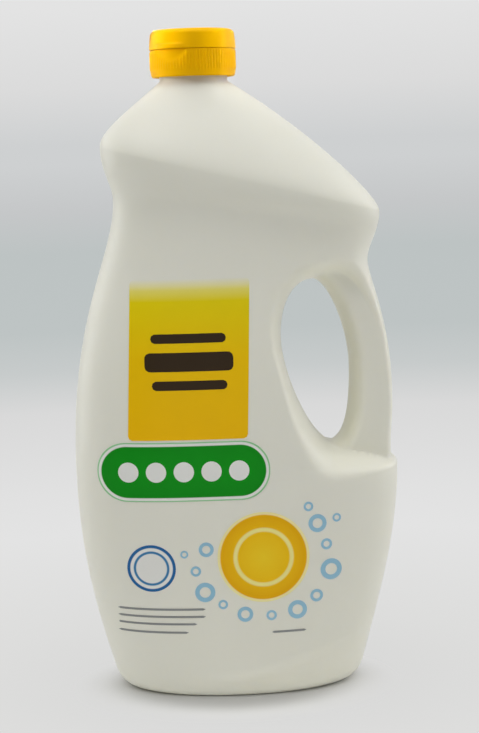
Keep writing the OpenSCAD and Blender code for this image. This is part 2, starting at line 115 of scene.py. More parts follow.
def srgb(red: int, green: int, blue: int) -> Colour:
    """Turns a colour as a screen shows it into linear values.

    Args:
        red, green, blue: Values from 0 to 255.

    Returns:
        The linear colour with full alpha.
    """
    parts = [v / 255 for v in (red, green, blue)]
    linear = [v / 12.92 if v <= 0.04045 else ((v + 0.055) / 1.055) ** 2.4 for v in parts]
    return (*linear, 1.0)


def ease(t: np.ndarray | float) -> np.ndarray:
    """Runs smoothly from 0 to 1 as t does."""
    s = np.clip(t, 0, 1)
    return s * s * (3 - 2 * s)


def shelf(t: np.ndarray, power: float, crisp: float) -> np.ndarray:
    """Rises from 0 to 1 as a squarish quarter ellipse that is cut short at the share crisp, as t does."""
    whole = (1 - (1 - crisp) ** power) ** (1 / power)
    return (1 - (1 - crisp * np.clip(t, 0, 1)) ** power) ** (1 / power) / whole


def soft_min(a: np.ndarray, b: np.ndarray, k: np.ndarray | float) -> np.ndarray:
    """Gives the lesser of two sizes.

    Args:
        a, b: The sizes.
        k: The rounding between them.

    Returns:
        The lesser size at each place.
    """
    k = np.maximum(k, TINY)
    h = np.clip(0.5 + 0.5 * (b - a) / k, 0, 1)
    return b + (a - b) * h - k * h * (1 - h)


def soft_max(a: np.ndarray, b: np.ndarray, k: np.ndarray | float) -> np.ndarray:
    """Gives the greater of two sizes, with a rounding k between them."""
    return -soft_min(-a, -b, k)


def bend(a: Sequence, b: Sequence, c: Sequence, d: Sequence, steps: int = 60) -> np.ndarray:
    """Draws a cubic curve.

    Args:
        a, d: The ends, as [size, height].
        b, c: The points that pull the curve.
        steps: Stretches to cut it into.

    Returns:
        The points, one row each.
    """
    t = np.linspace(0, 1, steps + 1)[:, None]
    s = 1 - t
    a, b, c, d = (np.asarray(p, float) for p in (a, b, c, d))
    return s**3 * a + 3 * s * s * t * b + 3 * s * t * t * c + t**3 * d


def rise(a: Sequence, d: Sequence, hold_a: float, hold_d: float) -> np.ndarray:
    """Draws a curve that leaves and arrives upright.

    Args:
        a, d: The ends, as [size, height].
        hold_a, hold_d: Shares of the rise over which each end is held.

    Returns:
        The points, one row each.
    """
    a, d = np.asarray(a, float), np.asarray(d, float)
    h = d[1] - a[1]
    return bend(a, a + [0, hold_a * h], d - [0, hold_d * h], d)


def by_height(*curves: np.ndarray) -> Callable[[np.ndarray], np.ndarray]:
    """Joins curves of [size, height] into a function from height to size."""
    points = np.vstack(curves)
    return lambda z: np.interp(z, points[:, 1], points[:, 0])


def even(points: np.ndarray, count: int) -> np.ndarray:
    """Spaces points evenly along a line.

    Args:
        points: The line.
        count: Stretches to cut it into.

    Returns:
        The new points, one more than the stretches.
    """
    length = np.concatenate([[0], np.cumsum(np.linalg.norm(np.diff(points, axis=0), axis=1))])
    at = np.linspace(0, length[-1], count + 1)
    return np.stack([np.interp(at, length, points[:, k]) for k in range(2)], axis=1)


def crowd(count: int) -> np.ndarray:
    """Shares from 0 to 1 that crowd towards both ends."""
    return (1 - np.cos(np.pi * np.linspace(0, 1, count + 1))) / 2


def circle(count: int) -> np.ndarray:
    """Angles that go once round in even steps."""
    return np.arange(count) * FULL_TURN / count


def angle_off(turn: np.ndarray, towards: float) -> np.ndarray:
    """Gives how far angles lie from one direction."""
    return np.abs(np.angle(np.exp(1j * (turn - towards))))


def polar(r: np.ndarray | float, turn: np.ndarray, z: np.ndarray | float, x: float = 0.0) -> Grid:
    """Gives points round an upright axis that stands at x."""
    return np.stack([x + r * np.cos(turn), r * np.sin(turn), z + np.zeros_like(turn)], axis=-1)


def fillet(corners: Sequence[tuple[float, float, float]], steps: int = 4) -> np.ndarray:
    """Rounds the corners of a closed outline.

    Args:
        corners: Each corner as (radius, height, rounding).
        steps: Stretches of each rounding.

    Returns:
        The outline's points.
    """
    at = [np.array(c[:2], float) for c in corners]
    points = []
    for k, (*_, rounding) in enumerate(corners):
        p, before, after = at[k], at[k - 1] - at[k], at[(k + 1) % len(at)] - at[k]
        if rounding <= 0:
            points.append(p)
            continue
        a = p + before / np.linalg.norm(before) * min(rounding, np.linalg.norm(before) * CORNER_SHARE)
        b = p + after / np.linalg.norm(after) * min(rounding, np.linalg.norm(after) * CORNER_SHARE)
        pull = (1 - CORNER_PULL) * (a + b) / 2 + CORNER_PULL * p
        for t in np.linspace(0, 1, steps + 1):
            points.append((1 - t) ** 2 * a + 2 * t * (1 - t) * pull + t * t * b)
    return np.array(points)


@dataclass
class MeshSheet:
    """Points and faces gathered from grids, made into one welded piece."""

    points: list[np.ndarray] = field(default_factory=list)
    faces: list[np.ndarray] = field(default_factory=list)
    count: int = 0

    def grid(self, points: Grid, closed_rows: bool = False, closed_columns: bool = False) -> None:
        """Adds a grid of quads.

        Args:
            points: An array of rows by columns by 3.
            closed_rows: Whether the last row joins the first.
            closed_columns: Whether the last column joins the first.
        """
        rows, columns = points.shape[:2]
        index = np.arange(rows * columns).reshape(rows, columns) + self.count
        if closed_rows:
            index = np.vstack([index, index[:1]])
        if closed_columns:
            index = np.hstack([index, index[:, :1]])
        quads = np.stack([index[:-1, :-1], index[:-1, 1:], index[1:, 1:], index[1:, :-1]], axis=-1)
        self.points.append(points.reshape(-1, 3))
        self.faces.append(quads.reshape(-1, 4))
        self.count += rows * columns

    def piece(self, name: str, sharp: float = 40.0) -> Piece:
        """Welds what was gathered into an object with outward faces.

        Args:
            name: The piece's name.
            sharp: Angle in degrees above which an edge shades sharp.

        Returns:
            The new object, at the origin.
        """
        mesh = bpy.data.meshes.new(name)
        mesh.from_pydata((np.vstack(self.points) * MM).tolist(), [], np.vstack(self.faces).tolist())
        sheet = bmesh.new()
        sheet.from_mesh(mesh)
        bmesh.ops.remove_doubles(sheet, verts=sheet.verts, dist=WELD)
        bmesh.ops.dissolve_degenerate(sheet, edges=sheet.edges, dist=WELD)
        bmesh.ops.recalc_face_normals(sheet, faces=sheet.faces)
        sheet.to_mesh(mesh)
        sheet.free()
        mesh.shade_smooth()
        mesh.set_sharp_from_angle(angle=math.radians(sharp))
        made = bpy.data.objects.new(name, mesh)
        bpy.context.scene.collection.objects.link(made)
        return made


def finish_piece(
    piece: Piece, finish: Material, body: Body | None,
    replaced: Sequence[str] = (),
) -> Piece:
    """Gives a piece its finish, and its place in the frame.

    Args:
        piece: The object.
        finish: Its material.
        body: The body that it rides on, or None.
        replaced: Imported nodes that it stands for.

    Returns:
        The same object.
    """
    piece.data.materials.clear()
    piece.data.materials.append(finish)
    if body is not None:
        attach(piece, body.value)
    if replaced:
        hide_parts(*replaced)
    LOG.info("%s: %d faces", piece.name, len(piece.data.polygons))
    return piece


class Sheet:
    """A node tree with short ways to add and join nodes."""

    def __init__(self, tree: bpy.types.NodeTree) -> None:
        """Takes the tree to draw in."""
        self.tree = tree

    def add(self, kind: str, inputs: dict | None = None, **settings: object) -> bpy.types.Node:
        """Adds a node.

        Args:
            kind: The node's type name without its ShaderNode start.
            inputs: Sockets to set or to join, by name or number.
            settings: Properties of the node.

        Returns:
            The new node.
        """
        node = self.tree.nodes.new("ShaderNode" + kind)
        for name, value in settings.items():
            setattr(node, name, value)
        for name, value in (inputs or {}).items():
            if isinstance(value, Socket):
                self.tree.links.new(value, node.inputs[name])
            else:
                node.inputs[name].default_value = value
        return node

    def math(self, operation: str, *values: object) -> Socket:
        """Adds a Math node and gives its result."""
        return self.add("Math", dict(enumerate(values)), operation=operation).outputs[0]

    def looks(self) -> Socket:
        """Tells which rays show a backdrop.

        Returns:
            1 for the rays that see it straight, in a gloss or through glass, and 0 for the rest.
        """
        path = self.add("LightPath").outputs
        seen = self.math("MAXIMUM", path["Is Camera Ray"], path["Is Glossy Ray"])
        return self.math("MAXIMUM", seen, path["Is Transmission Ray"])

    def spot(self) -> Socket:
        """Gives the place on the object, in metres."""
        return self.add("TexCoord").outputs["Object"]

    def span(
        self, value: Socket, low: float, high: float, start: float = 0.0, end: float = 1.0,
        **settings: object,
    ) -> Socket:
        """Maps a value from low and high to start and end."""
        return self.add("MapRange", {0: value, 1: low, 2: high, 3: start, 4: end}, **settings).outputs[0]

    def mix(self, share: object, first: object, second: object, **settings: object) -> Socket:
        """Mixes two colours and gives the result."""
        return self.add("Mix", {0: share, 6: first, 7: second}, data_type="RGBA", **settings).outputs[2]

    def ramp(self, value: Socket, stops: Stops) -> Socket:
        """Adds a colour ramp.

        Args:
            value: What the ramp runs over.
            stops: Each stop's place and colour.

        Returns:
            The colour.
        """
        node = self.add("ValToRGB", {0: value})
        elements = node.color_ramp.elements
        while len(elements) < len(stops):
            elements.new(0.5)
        for element, (place, colour) in zip(elements, stops):
            element.position = place
            element.color = colour
        return node.outputs["Color"]


def blank(name: str) -> tuple[Material, Sheet, bpy.types.NodeInputs]:
    """Starts a material.

    Args:
        name: The material's name.

    Returns:
        The material, the sheet to draw in, and the shader's inputs.
    """
    material = bpy.data.materials.new(name)
    material.use_nodes = True
    return material, Sheet(material.node_tree), material.node_tree.nodes["Principled BSDF"].inputs


class SharedEffects:
    """Node groups that more than one finish uses, each built once."""

    grain_share = 0.35

    def __init__(self) -> None:
        """Builds the groups."""
        self.peel = self._peel()
        self.drift = self._drift()

    def drifted(self, sheet: Sheet, main: Colour, second: Colour) -> Socket:
        """Places the drift between two colours and gives its result."""
        return sheet.add("Group", {"Main": main, "Second": second}, node_tree=self.drift).outputs["Color"]

    @staticmethod
    def _group(
        name: str, inputs: dict[str, float | Colour], outputs: dict[str, str]
    ) -> tuple[Sheet, dict, dict]:
        """Starts a group.

        Args:
            name: The group's name.
            inputs: Each input's name and default.
            outputs: Each output's name and socket type.

        Returns:
            The sheet to draw in, the input sockets and the output sockets.
        """
        tree = bpy.data.node_groups.new(name, "ShaderNodeTree")
        for label, default in inputs.items():
            kind = "NodeSocketFloat" if isinstance(default, float) else "NodeSocketColor"
            tree.interface.new_socket(label, in_out="INPUT", socket_type=kind).default_value = default
        for label, kind in outputs.items():
            tree.interface.new_socket(label, in_out="OUTPUT", socket_type=kind)
        entry = tree.nodes.new("NodeGroupInput")
        leave = tree.nodes.new("NodeGroupOutput")
        return Sheet(tree), dict(entry.outputs.items()), dict(leave.inputs.items())

    def _peel(self) -> bpy.types.NodeTree:
        """Builds the fine mould texture.

        Returns:
            The group, which puts out a height and a gloss mask.
        """
        sheet, given, out = self._group(
            "mould_peel",
            {"Grain": 2200.0, "Sweep": 90.0},
            {"Height": "NodeSocketFloat", "Gloss": "NodeSocketFloat"},
        )
        place = sheet.spot()
        grain = sheet.add("TexNoise", {"Vector": place, "Scale": given["Grain"], "Detail": 2.0}).outputs[0]
        sweep = sheet.add("TexNoise", {"Vector": place, "Scale": given["Sweep"], "Detail": 3.0}).outputs[0]
        parts = [(grain, self.grain_share), (sweep, 1 - self.grain_share)]
        height = sheet.math("ADD", *(sheet.math("MULTIPLY", value, share) for value, share in parts))
        sheet.tree.links.new(height, out["Height"])
        sheet.tree.links.new(sweep, out["Gloss"])
        return sheet.tree

    def _drift(self) -> bpy.types.NodeTree:
        """Builds the slow drift of a colour towards a second one.

        Returns:
            The group, which puts out a colour.
        """
        sheet, given, out = self._group(
            "tone_drift",
            {"Main": srgb(230, 230, 230), "Second": srgb(220, 220, 220), "Size": 14.0},
            {"Color": "NodeSocketColor"},
        )
        look = {"Vector": sheet.spot(), "Scale": given["Size"], "Detail": 2.0}
        cloud = sheet.add("TexNoise", look).outputs[0]
        sheet.tree.links.new(sheet.mix(cloud, given["Main"], given["Second"]), out["Color"])
        return sheet.tree


@dataclass(frozen=True, kw_only=True)
class Finish:
    """What all surfaces share: satin gloss and fine mould texture."""

    name: str
    gloss: Pair = (0.30, 0.38)
    bump: float = 0.12
    shine: float = 0.12
    grain: float = 2200.0

    def _colour(self, sheet: Sheet, effects: SharedEffects, height: Socket) -> Socket:
        """Gives the surface's colour."""
        raise NotImplementedError

    def _height(self, sheet: Sheet, height: Socket) -> Socket:
        """Gives the height that the light picks out."""
        return height

    def _fill(self, inputs: bpy.types.NodeInputs) -> None:
        """Sets what lies under the surface."""

    def build(self, effects: SharedEffects) -> Material:
        """Makes the material.

        Args:
            effects: The shared groups.

        Returns:
            The material.
        """
        material, sheet, inputs = blank(self.name)
        peel = sheet.add("Group", {"Grain": self.grain}, node_tree=effects.peel).outputs
        height = self._height(sheet, peel["Height"])
        relief = {"Strength": self.bump, "Distance": PEEL_DEPTH, "Height": height}
        joined = {
            "Base Color": self._colour(sheet, effects, peel["Height"]),
            "Roughness": sheet.span(peel["Gloss"], *PEEL_SPAN, *self.gloss),
            "Normal": sheet.add("Bump", relief).outputs[0],
        }
        for name, value in joined.items():
            sheet.tree.links.new(value, inputs[name])
        inputs["Specular IOR Level"].default_value = self.shine
        self._fill(inputs)
        return material


@dataclass(frozen=True, kw_only=True)
class PlasticFinish(Finish):
    """A moulded plastic: two near tones, light that sinks in, and a parting line."""

    main: Colour
    second: Colour
    depth: float
    glow: Triple
    glow_scale: float = 0.004
    ior: float = 1.5
    seam: float = 0.0
    seam_height: float = 2.0

    def _colour(self, sheet: Sheet, effects: SharedEffects, height: Socket) -> Socket:
        """Gives the drift between the two tones."""
        return effects.drifted(sheet, self.main, self.second)

    def _height(self, sheet: Sheet, height: Socket) -> Socket:
        """Adds the parting line to the mould texture.

        Args:
            sheet: The sheet to draw in.
            height: The mould texture.

        Returns:
            The height.
        """
        if self.seam == 0:
            return height
        off = sheet.math("ABSOLUTE", sheet.add("SeparateXYZ", {0: sheet.spot()}).outputs["Y"])
        line = sheet.span(off, 0.0, self.seam * MM, 1.0, 0.0)
        return sheet.math("ADD", height, sheet.math("MULTIPLY", line, self.seam_height))

    def _fill(self, inputs: bpy.types.NodeInputs) -> None:
        """Sets how light sinks into the plastic.

        Args:
            inputs: The shader's inputs.
        """
        inputs["IOR"].default_value = self.ior
        inputs["Subsurface Weight"].default_value = self.depth
        inputs["Subsurface Radius"].default_value = self.glow
        inputs["Subsurface Scale"].default_value = self.glow_scale


@dataclass(frozen=True, kw_only=True)
class InkFinish(Finish):
    """A printed field: colour stops over a plain, fading, ringed or edged fill."""

    stops: Stops
    fill: Fill = Fill.PLAIN
    centre: Pair = (0.0, 0.0)
    reach: Pair = (1.0, 1.0)
    mottle: Pair = (0.97, 1.0)

    def _place(self, sheet: Sheet) -> Socket:
        """Gives the value that the colour stops run over.

        Args:
            sheet: The sheet to draw in.

        Returns:
            The value, from 0 to 1 over the field.
        """
        spot = sheet.add("SeparateXYZ", {0: sheet.spot()}).outputs
        across = sheet.math("SUBTRACT", spot["X"], self.centre[0] * MM)
        up = sheet.math("SUBTRACT", spot["Z"], self.centre[1] * MM)
        if self.fill is Fill.FADE:
            return sheet.span(up, -self.reach[1] * MM, self.reach[1] * MM)
        if self.fill is Fill.EDGED:
            straight = (self.reach[0] - self.reach[1]) * MM
            past = sheet.math("SUBTRACT", sheet.math("ABSOLUTE", across), straight)
            across = sheet.math("MAXIMUM", past, 0.0)
        squares = (sheet.math("POWER", sheet.math("ABSOLUTE", part), 2.0) for part in (across, up))
        return sheet.math("DIVIDE", sheet.math("SQRT", sheet.math("ADD", *squares)), self.reach[1] * MM)

    def _colour(self, sheet: Sheet, effects: SharedEffects, height: Socket) -> Socket:
        """Gives the ink's colour, faintly mottled.

        Args:
            sheet: The sheet to draw in.
            effects: The shared groups.
            height: The mould texture.

        Returns:
            The colour.
        """
        if self.fill is Fill.PLAIN:
            colour = effects.drifted(sheet, self.stops[0][1], self.stops[-1][1])
        else:
            colour = sheet.ramp(self._place(sheet), self.stops)
        return sheet.mix(1.0, colour, sheet.span(height, *PEEL_SPAN, *self.mottle), blend_type="MULTIPLY")


@dataclass
class FingerOpening:
    """The opening behind the handle, drawn on the seam plane."""

    left: Pair = (21.7, 163.0)
    right: Pair = (54.5, 148.0)
    low: Pair = (44.0, 111.5)
    high: Pair = (37.0, 189.0)
    body_pulls: tuple[Pair, float, float, float] = ((-9.5, 5.5), 17.0, 14.0, -9.5)
    handle_pulls: tuple[Pair, float, float, float] = ((8.5, 1.5), 19.0, 16.0, 8.5)
    top_pulls: tuple[Pair, Pair] = ((9.0, 4.5), (58.5, 196.5))
    top_end: Pair = (70.5, 150.0)
    top_tail: Pair = (76.0, 126.0)
    grip_round: float = 7.0
    recess_side: float = 5.0
    recess_foot: float = 12.0
    recess_over: float = 8.0
    recess_turn_z: float = 150.0
    foot_power: float = 1.5
    narrow: float = 0.78
    crisp: float = 0.6
    ledge_z: float = 99.5
    ledge_end: Pair = (73.8, 105.0)
    ledge_tail: float = 6.0

    def __post_init__(self) -> None:
        """Draws the two edges from the lowest point to the highest, and the recess's ends."""
        self.body_edge = self._edge(self.left, self.body_pulls)
        self.handle_edge = self._edge(self.right, self.handle_pulls)
        self.ring = np.vstack([self.body_edge, self.handle_edge[::-1]])
        end_x, end_z = self.ledge_end
        self.ledge = np.array([self.low, self.ledge_end, [end_x + self.ledge_tail, end_z]])
        start = np.array(self.high)
        above = bend(start, start + self.top_pulls[0], self.top_pulls[1], self.top_end, EDGE_STEPS)
        self.top = np.vstack([above, [self.top_tail]])

    def _edge(self, side: Pair, pulls: tuple[Pair, float, float, float]) -> np.ndarray:
        """Draws one edge.

        Args:
            side: Its widest point.
            pulls: The pull from the lowest point, below and above the side, and to the highest point.

        Returns:
            The points, from the lowest up.
        """
        low, high, middle = (np.array(p) for p in (self.low, self.high, side))
        from_low, down, up, to_high = pulls
        return np.vstack([
            bend(low, low + from_low, middle - [0, down], middle, EDGE_STEPS),
            bend(middle, middle + [0, up], high + [to_high, 0], high, EDGE_STEPS)[1:],
        ])

    @staticmethod
    def _distance(line: np.ndarray, x: np.ndarray, z: np.ndarray) -> np.ndarray:
        """Gives the distance of points from a line.

        Args:
            line: The line's points.
            x, z: The points.

        Returns:
            The distances.
        """
        p = np.stack([x, z], axis=-1)[:, None, :]
        a, b = line[:-1][None], line[1:][None]
        d = b - a
        t = np.clip(((p - a) * d).sum(-1) / np.maximum((d * d).sum(-1), TINY), 0, 1)
        return np.linalg.norm(p - a - t[..., None] * d, axis=-1).min(axis=1)

    def distance(self, x: np.ndarray, z: np.ndarray) -> np.ndarray:
        """Gives the distance of points from the opening's edge."""
        return self._distance(self.ring, x, z)

    def beyond(self, x: np.ndarray, z: np.ndarray) -> np.ndarray:
        """Gives the distance of points from the recess round the handle.

        Args:
            x, z: The points.

        Returns:
            The distances, 0 inside the recess.
        """
        low, high = np.array(self.low), np.array(self.high)
        edge_x = np.interp(z, self.body_edge[:, 1], self.body_edge[:, 0])
        ledge_z = np.interp(x, self.ledge[:, 0], self.ledge[:, 1])
        top_z = np.interp(x, self.top[:, 0], self.top[:, 1])
        inside = (x > edge_x) & (z < top_z) & ((z > low[1]) | ((x > low[0]) & (z > ledge_z)))
        inside &= (z < high[1]) | (x > high[0])
        outline = np.vstack([self.ledge[::-1], self.body_edge[1:], self.top[1:]])
        return np.where(inside, 0, self._distance(outline, x, z))

    def recess_width(self, x: np.ndarray, z: np.ndarray) -> np.ndarray:
        """Gives how far the recess's wall runs out from its edge.

        Args:
            x, z: The points.

        Returns:
            The widths.
        """
        start = self.recess_turn_z
        lower = np.clip((start - z) / (start - self.ledge_z), 0, 1) ** self.foot_power
        upper = np.clip((z - start) / (self.high[1] - start), 0, 1)
        narrow = self.narrow * np.clip((start - z) / (start - self.low[1]), 0, 1)
        along = np.clip((x - self.low[0]) / (self.ledge_end[0] - self.low[0]), 0, 1)
        width = self.recess_side + (self.recess_foot - self.recess_side) * lower
        return (width + (self.recess_over - width) * upper) * (1 - narrow * along)

    def rim(self, on_handle: bool, count: int, inset: float) -> np.ndarray:
        """Spaces points along one edge.

        Args:
            on_handle: Whether it is the handle's edge or the body's.
            count: Stretches to cut it into.
            inset: How far the edge is moved into the wall.

        Returns:
            The points from the lowest to the highest.
        """
        edge = self.handle_edge if on_handle else self.body_edge
        if inset == 0:
            return even(edge, count)
        way = np.gradient(edge, axis=0)
        way /= np.linalg.norm(way, axis=1, keepdims=True)
        side = np.stack([way[:, 1], -way[:, 0]], axis=1) * (1 if on_handle else -1)
        tips = np.array([self.low, self.high]) + [[0, -inset], [0, inset]]
        return even(np.vstack([tips[:1], edge + side * inset, tips[1:]]), count)


@dataclass(frozen=True)
class RowCounts:
    """How finely a wall is cut, from the heel to the neck."""

    heel: int
    belly: int
    ledge: int
    opening: int
    lean: int
    shoulder: int
    tips: tuple[float, ...]


OUTER_ROWS = RowCounts(
    heel=12, belly=50, ledge=16, opening=84, lean=34, shoulder=44,
    tips=(0.02, 0.08, 0.2, 0.4, 0.7, 1.1, 1.6, 2.3, 3.1),
)
INNER_ROWS = RowCounts(heel=5, belly=18, ledge=6, opening=30, lean=12, shoulder=16, tips=(0.1, 0.5, 1.5))
BASE_STEPS = (
    (18.0, 1.0), (9.0, 1.0), (5.2, 0.94), (3.4, 0.7), (1.8, 0.22), (0.9, 0.04), (0.0, 0.0),
    (-2.0, 0.0), (-4.0, 0.0),
)
INNER_BASE_STEPS = BASE_STEPS[:7]


@dataclass(frozen=True)
class OutlinePulls:
    """How a side's outline is pulled between the heel, belly, waist, ridge and neck."""

    side: Triple
    waist: Pair
    ridge: Pair
    shoulder: Pair


@dataclass(frozen=True)
class FootCrease:
    """The faint step low on the wall that climbs towards the handle's side."""

    start: float = -2.0
    slope: float = 0.265
    low_z: float = 9.3
    width: float = 4.0
    proud: float = 0.9
    turn_in: float = 6.0
    run_in: float = 25.0
    heel_z: float = 8.0

    def step(self, x: Grid, z: Grid) -> Grid:
        """Gives how far the foot stands proud.

        Args:
            x, z: Points of the wall.

        Returns:
            The step at each point, 0 above the crease.
        """
        run = x - self.start
        line = self.low_z + self.slope * (run + np.sqrt(run**2 + self.turn_in**2)) / 2
        proud = self.proud * ease(run / self.run_in + 1) * ease(z / self.heel_z)
        return proud * (1 - ease((z - line) / self.width + 0.5))


@dataclass
class BottleShell:
    """The blown bottle: one hollow wall with a through handle, standing ring and neck."""

    belly: float = 75.45
    belly_z: float = 107.0
    belly_half_d: float = 41.98
    base_left: float = 51.3
    base_right: float = 48.7
    base_half_d: float = 33.9
    heel_h: float = 10.0
    heel_run: float = 9.4
    heel_run_d: float = 4.0
    heel_pull: Triple = (0.55, 0.85, 0.4)
    wall: float = 1.3
    ring_w: float = 4.0
    push_up: float = 2.5
    waist_left: Pair = (53.7, 228.0)
    waist_right: Pair = (63.7, 197.0)
    waist_half_d: float = 31.2
    ridge_left: Pair = (58.9, 252.0)
    ridge_right: Pair = (69.6, 219.5)
    ridge_half_d: float = 37.0
    handle_out: Pair = (73.8, 135.0)
    handle_half_d: float = 15.5
    ledge_z: float = 99.5
    ledge_over: float = 2.0
    ledge_end_z: float = 105.5
    ledge_step: float = 1.3
    ledge_pulls: Pair = (4.0, 3.0)
    ledge_lead: float = 6.0
    lean_z: float = 193.0
    lean_ease: float = 0.4
    left_pulls: OutlinePulls = OutlinePulls((8.5, 29.0, 40.0), (0.58, 0.21), (0.3, 0.48), (21.8, -17.5))
    right_pulls: OutlinePulls = OutlinePulls((7.2, 26.0, 30.0), (0.57, 0.14), (0.3, 0.45), (39.0, -25.0))
    handle_holds: Pair = (0.5, 0.5)
    depth_holds: tuple[Pair, Pair, Pair] = ((0.3, 0.5), (0.5, 0.25), (0.6, 0.5))
    depth_shoulder: Pair = (11.0, -21.0)
    squareness: tuple[Pair, ...] = ((2.15, 0.0), (2.75, 60.0), (2.85, 180.0), (2.7, 236.0))
    neck_square: float = 2.0
    ridge_hold: float = 6.5
    shoulder_crowd: float = 1.35
    grip_margins: Triple = (25.0, 20.0, 30.0)
    grip_power: float = 2.3
    recess_power: float = 2.6
    blend: float = 4.0
    edge_min: float = 0.02
    neck_x: float = -14.7
    neck_z: float = 281.0
    neck_r: float = 15.6
    foot_r: float = 16.1
    bore_r: float = 13.8
    neck_h: float = 13.0
    foot_round: Pair = (0.12, 0.28)
    neck_start: float = 0.55
    lip_outside: tuple[Pair, ...] = ((0.0, -0.6), (-0.15, -0.2), (-0.5, 0.0))
    lip_inside: tuple[Pair, ...] = ((0.4, 0.0), (0.1, -0.15), (0.0, -0.5))
    bore_foot: tuple[Pair, ...] = ((0.0, 1.2), (0.5, 0.4))
    thread_section: tuple[Pair, ...] = ((-0.3, -1.0), (0.45, -0.35), (0.45, 0.35), (-0.3, 1.0))
    thread_turns: float = 1.7
    thread_z: float = 4.2
    thread_pitch: float = 3.4
    thread_run_out: float = 0.5
    thread_steps: int = 170
    slit_share: float = 0.8
    slit_lead: float = 25.0
    tip_room: float = 0.3
    crease: FootCrease = FootCrease()
    crease_power: float = 8.0
    body_columns: int = 86
    handle_columns: int = 38
    opening: FingerOpening = field(default_factory=FingerOpening)

    def __post_init__(self) -> None:
        """Draws the outlines by height."""
        self.left = by_height(*self._left_curves())
        self.right = by_height(*self._right_curves())
        self.depth = by_height(*self._depth_curves())
        self.square = by_height(np.array([*self.squareness, (self.neck_square, self.neck_z)]))

    def _heel(self, start: float, run: float) -> np.ndarray:
        """Draws the heel's rounded corner.

        Args:
            start: Where it leaves the standing ring.
            run: How far it spreads.

        Returns:
            The points.
        """
        flat, out, up = self.heel_pull
        h = self.heel_h
        return bend([start, 0], [start + flat * run, 0], [start + out * run, up * h], [start + run, h])

    def _foot_curves(self, base: float, belly: np.ndarray, pulls: OutlinePulls) -> list[np.ndarray]:
        """Draws a side's outline from the base to the belly.

        Args:
            base: Where the heel starts.
            belly: The widest point.
            pulls: The side's pulls.

        Returns:
            The curves.
        """
        side = np.array([base + self.heel_run, self.heel_h])
        out, up, down = pulls.side
        return [self._heel(base, self.heel_run), bend(side, side + [out, up], belly - [0, down], belly)]

    def _shoulder(self, ridge: np.ndarray, foot: float, pull: Pair) -> np.ndarray:
        """Draws the outline from the ridge to the neck's foot.

        Args:
            ridge: The ridge's point.
            foot: The size at the neck's foot.
            pull: The pull at the foot.

        Returns:
            The points.
        """
        end = np.array([foot, self.neck_z])
        return bend(ridge, ridge + [0, self.ridge_hold], end + pull, end)

    def _left_curves(self) -> list[np.ndarray]:
        """Draws the plain side's outline, from the base to the neck.

        Returns:
            The curves.
        """
        belly, ridge, pulls = np.array([self.belly, self.belly_z]), np.array(self.ridge_left), self.left_pulls
        return [
            *self._foot_curves(self.base_left, belly, pulls),
            rise(belly, self.waist_left, *pulls.waist),
            rise(self.waist_left, ridge, *pulls.ridge),
            self._shoulder(ridge, self.foot_r - self.neck_x, pulls.shoulder),
        ]

    def _right_curves(self) -> list[np.ndarray]:
        """Draws the handle side's outline, from the base to the neck.

        Returns:
            The curves.
        """
        belly, ridge = np.array([self.belly, self.ledge_z + self.ledge_over]), np.array(self.ridge_right)
        step = np.array([self.handle_out[0] - self.ledge_step, self.ledge_end_z])
        pulls, (up, down) = self.right_pulls, self.ledge_pulls
        return [
            *self._foot_curves(self.base_right, belly, pulls),
            bend(belly, belly + [0, up], step - [0, down], step),
            rise(step, self.handle_out, *self.handle_holds),
            rise(self.handle_out, self.waist_right, *pulls.waist),
            rise(self.waist_right, ridge, *pulls.ridge),
            self._shoulder(ridge, self.foot_r + self.neck_x, pulls.shoulder),
        ]

    def _depth_curves(self) -> list[np.ndarray]:
        """Draws the half depth, from the base to the neck.

        Returns:
            The curves.
        """
        side = np.array([self.base_half_d + self.heel_run_d, self.heel_h])
        belly = np.array([self.belly_half_d, self.belly_z])
        waist = np.array([self.waist_half_d, (self.waist_left[1] + self.waist_right[1]) / 2])
        ridge = np.array([self.ridge_half_d, (self.ridge_left[1] + self.ridge_right[1]) / 2])
        stations = [side, belly, waist, ridge]
        return [
            self._heel(self.base_half_d, self.heel_run_d),
            *(rise(a, b, *holds) for a, b, holds in zip(stations, stations[1:], self.depth_holds)),
            self._shoulder(ridge, self.foot_r, self.depth_shoulder),
        ]

    def half_depth(self, x: Grid, z: Grid, z_left: Grid, z_right: Grid, inset: float) -> Grid:
        """Gives the wall's half depth at points of the front.

        Args:
            x, z: The points.
            z_left, z_right: Heights of each point's cross-section at its two sides.
            inset: How far the wall is taken in.

        Returns:
            The half depths.
        """
        z_mid = (z_left + z_right) / 2
        left, right = -self.left(z_left) + inset, self.right(z_right) - inset
        square = self.square(z_mid)
        u = np.clip(2 * (x - left) / (right - left) - 1, -1, 1)
        full = (self.depth(z_mid) - inset) * np.maximum(0, 1 - np.abs(u) ** square) ** (1 / square)
        if inset == 0:
            full = full + self.crease.step(x, z) * (1 - np.abs(u) ** self.crease_power)
        inward, under, over = self.grip_margins
        near = (z > self.ledge_z - under) & (z < self.lean_z + over) & (x > self.opening.left[0] - inward)
        made = full.copy()
        made[near] = self._by_the_grip(x[near], z[near], full[near], inset)
        return made

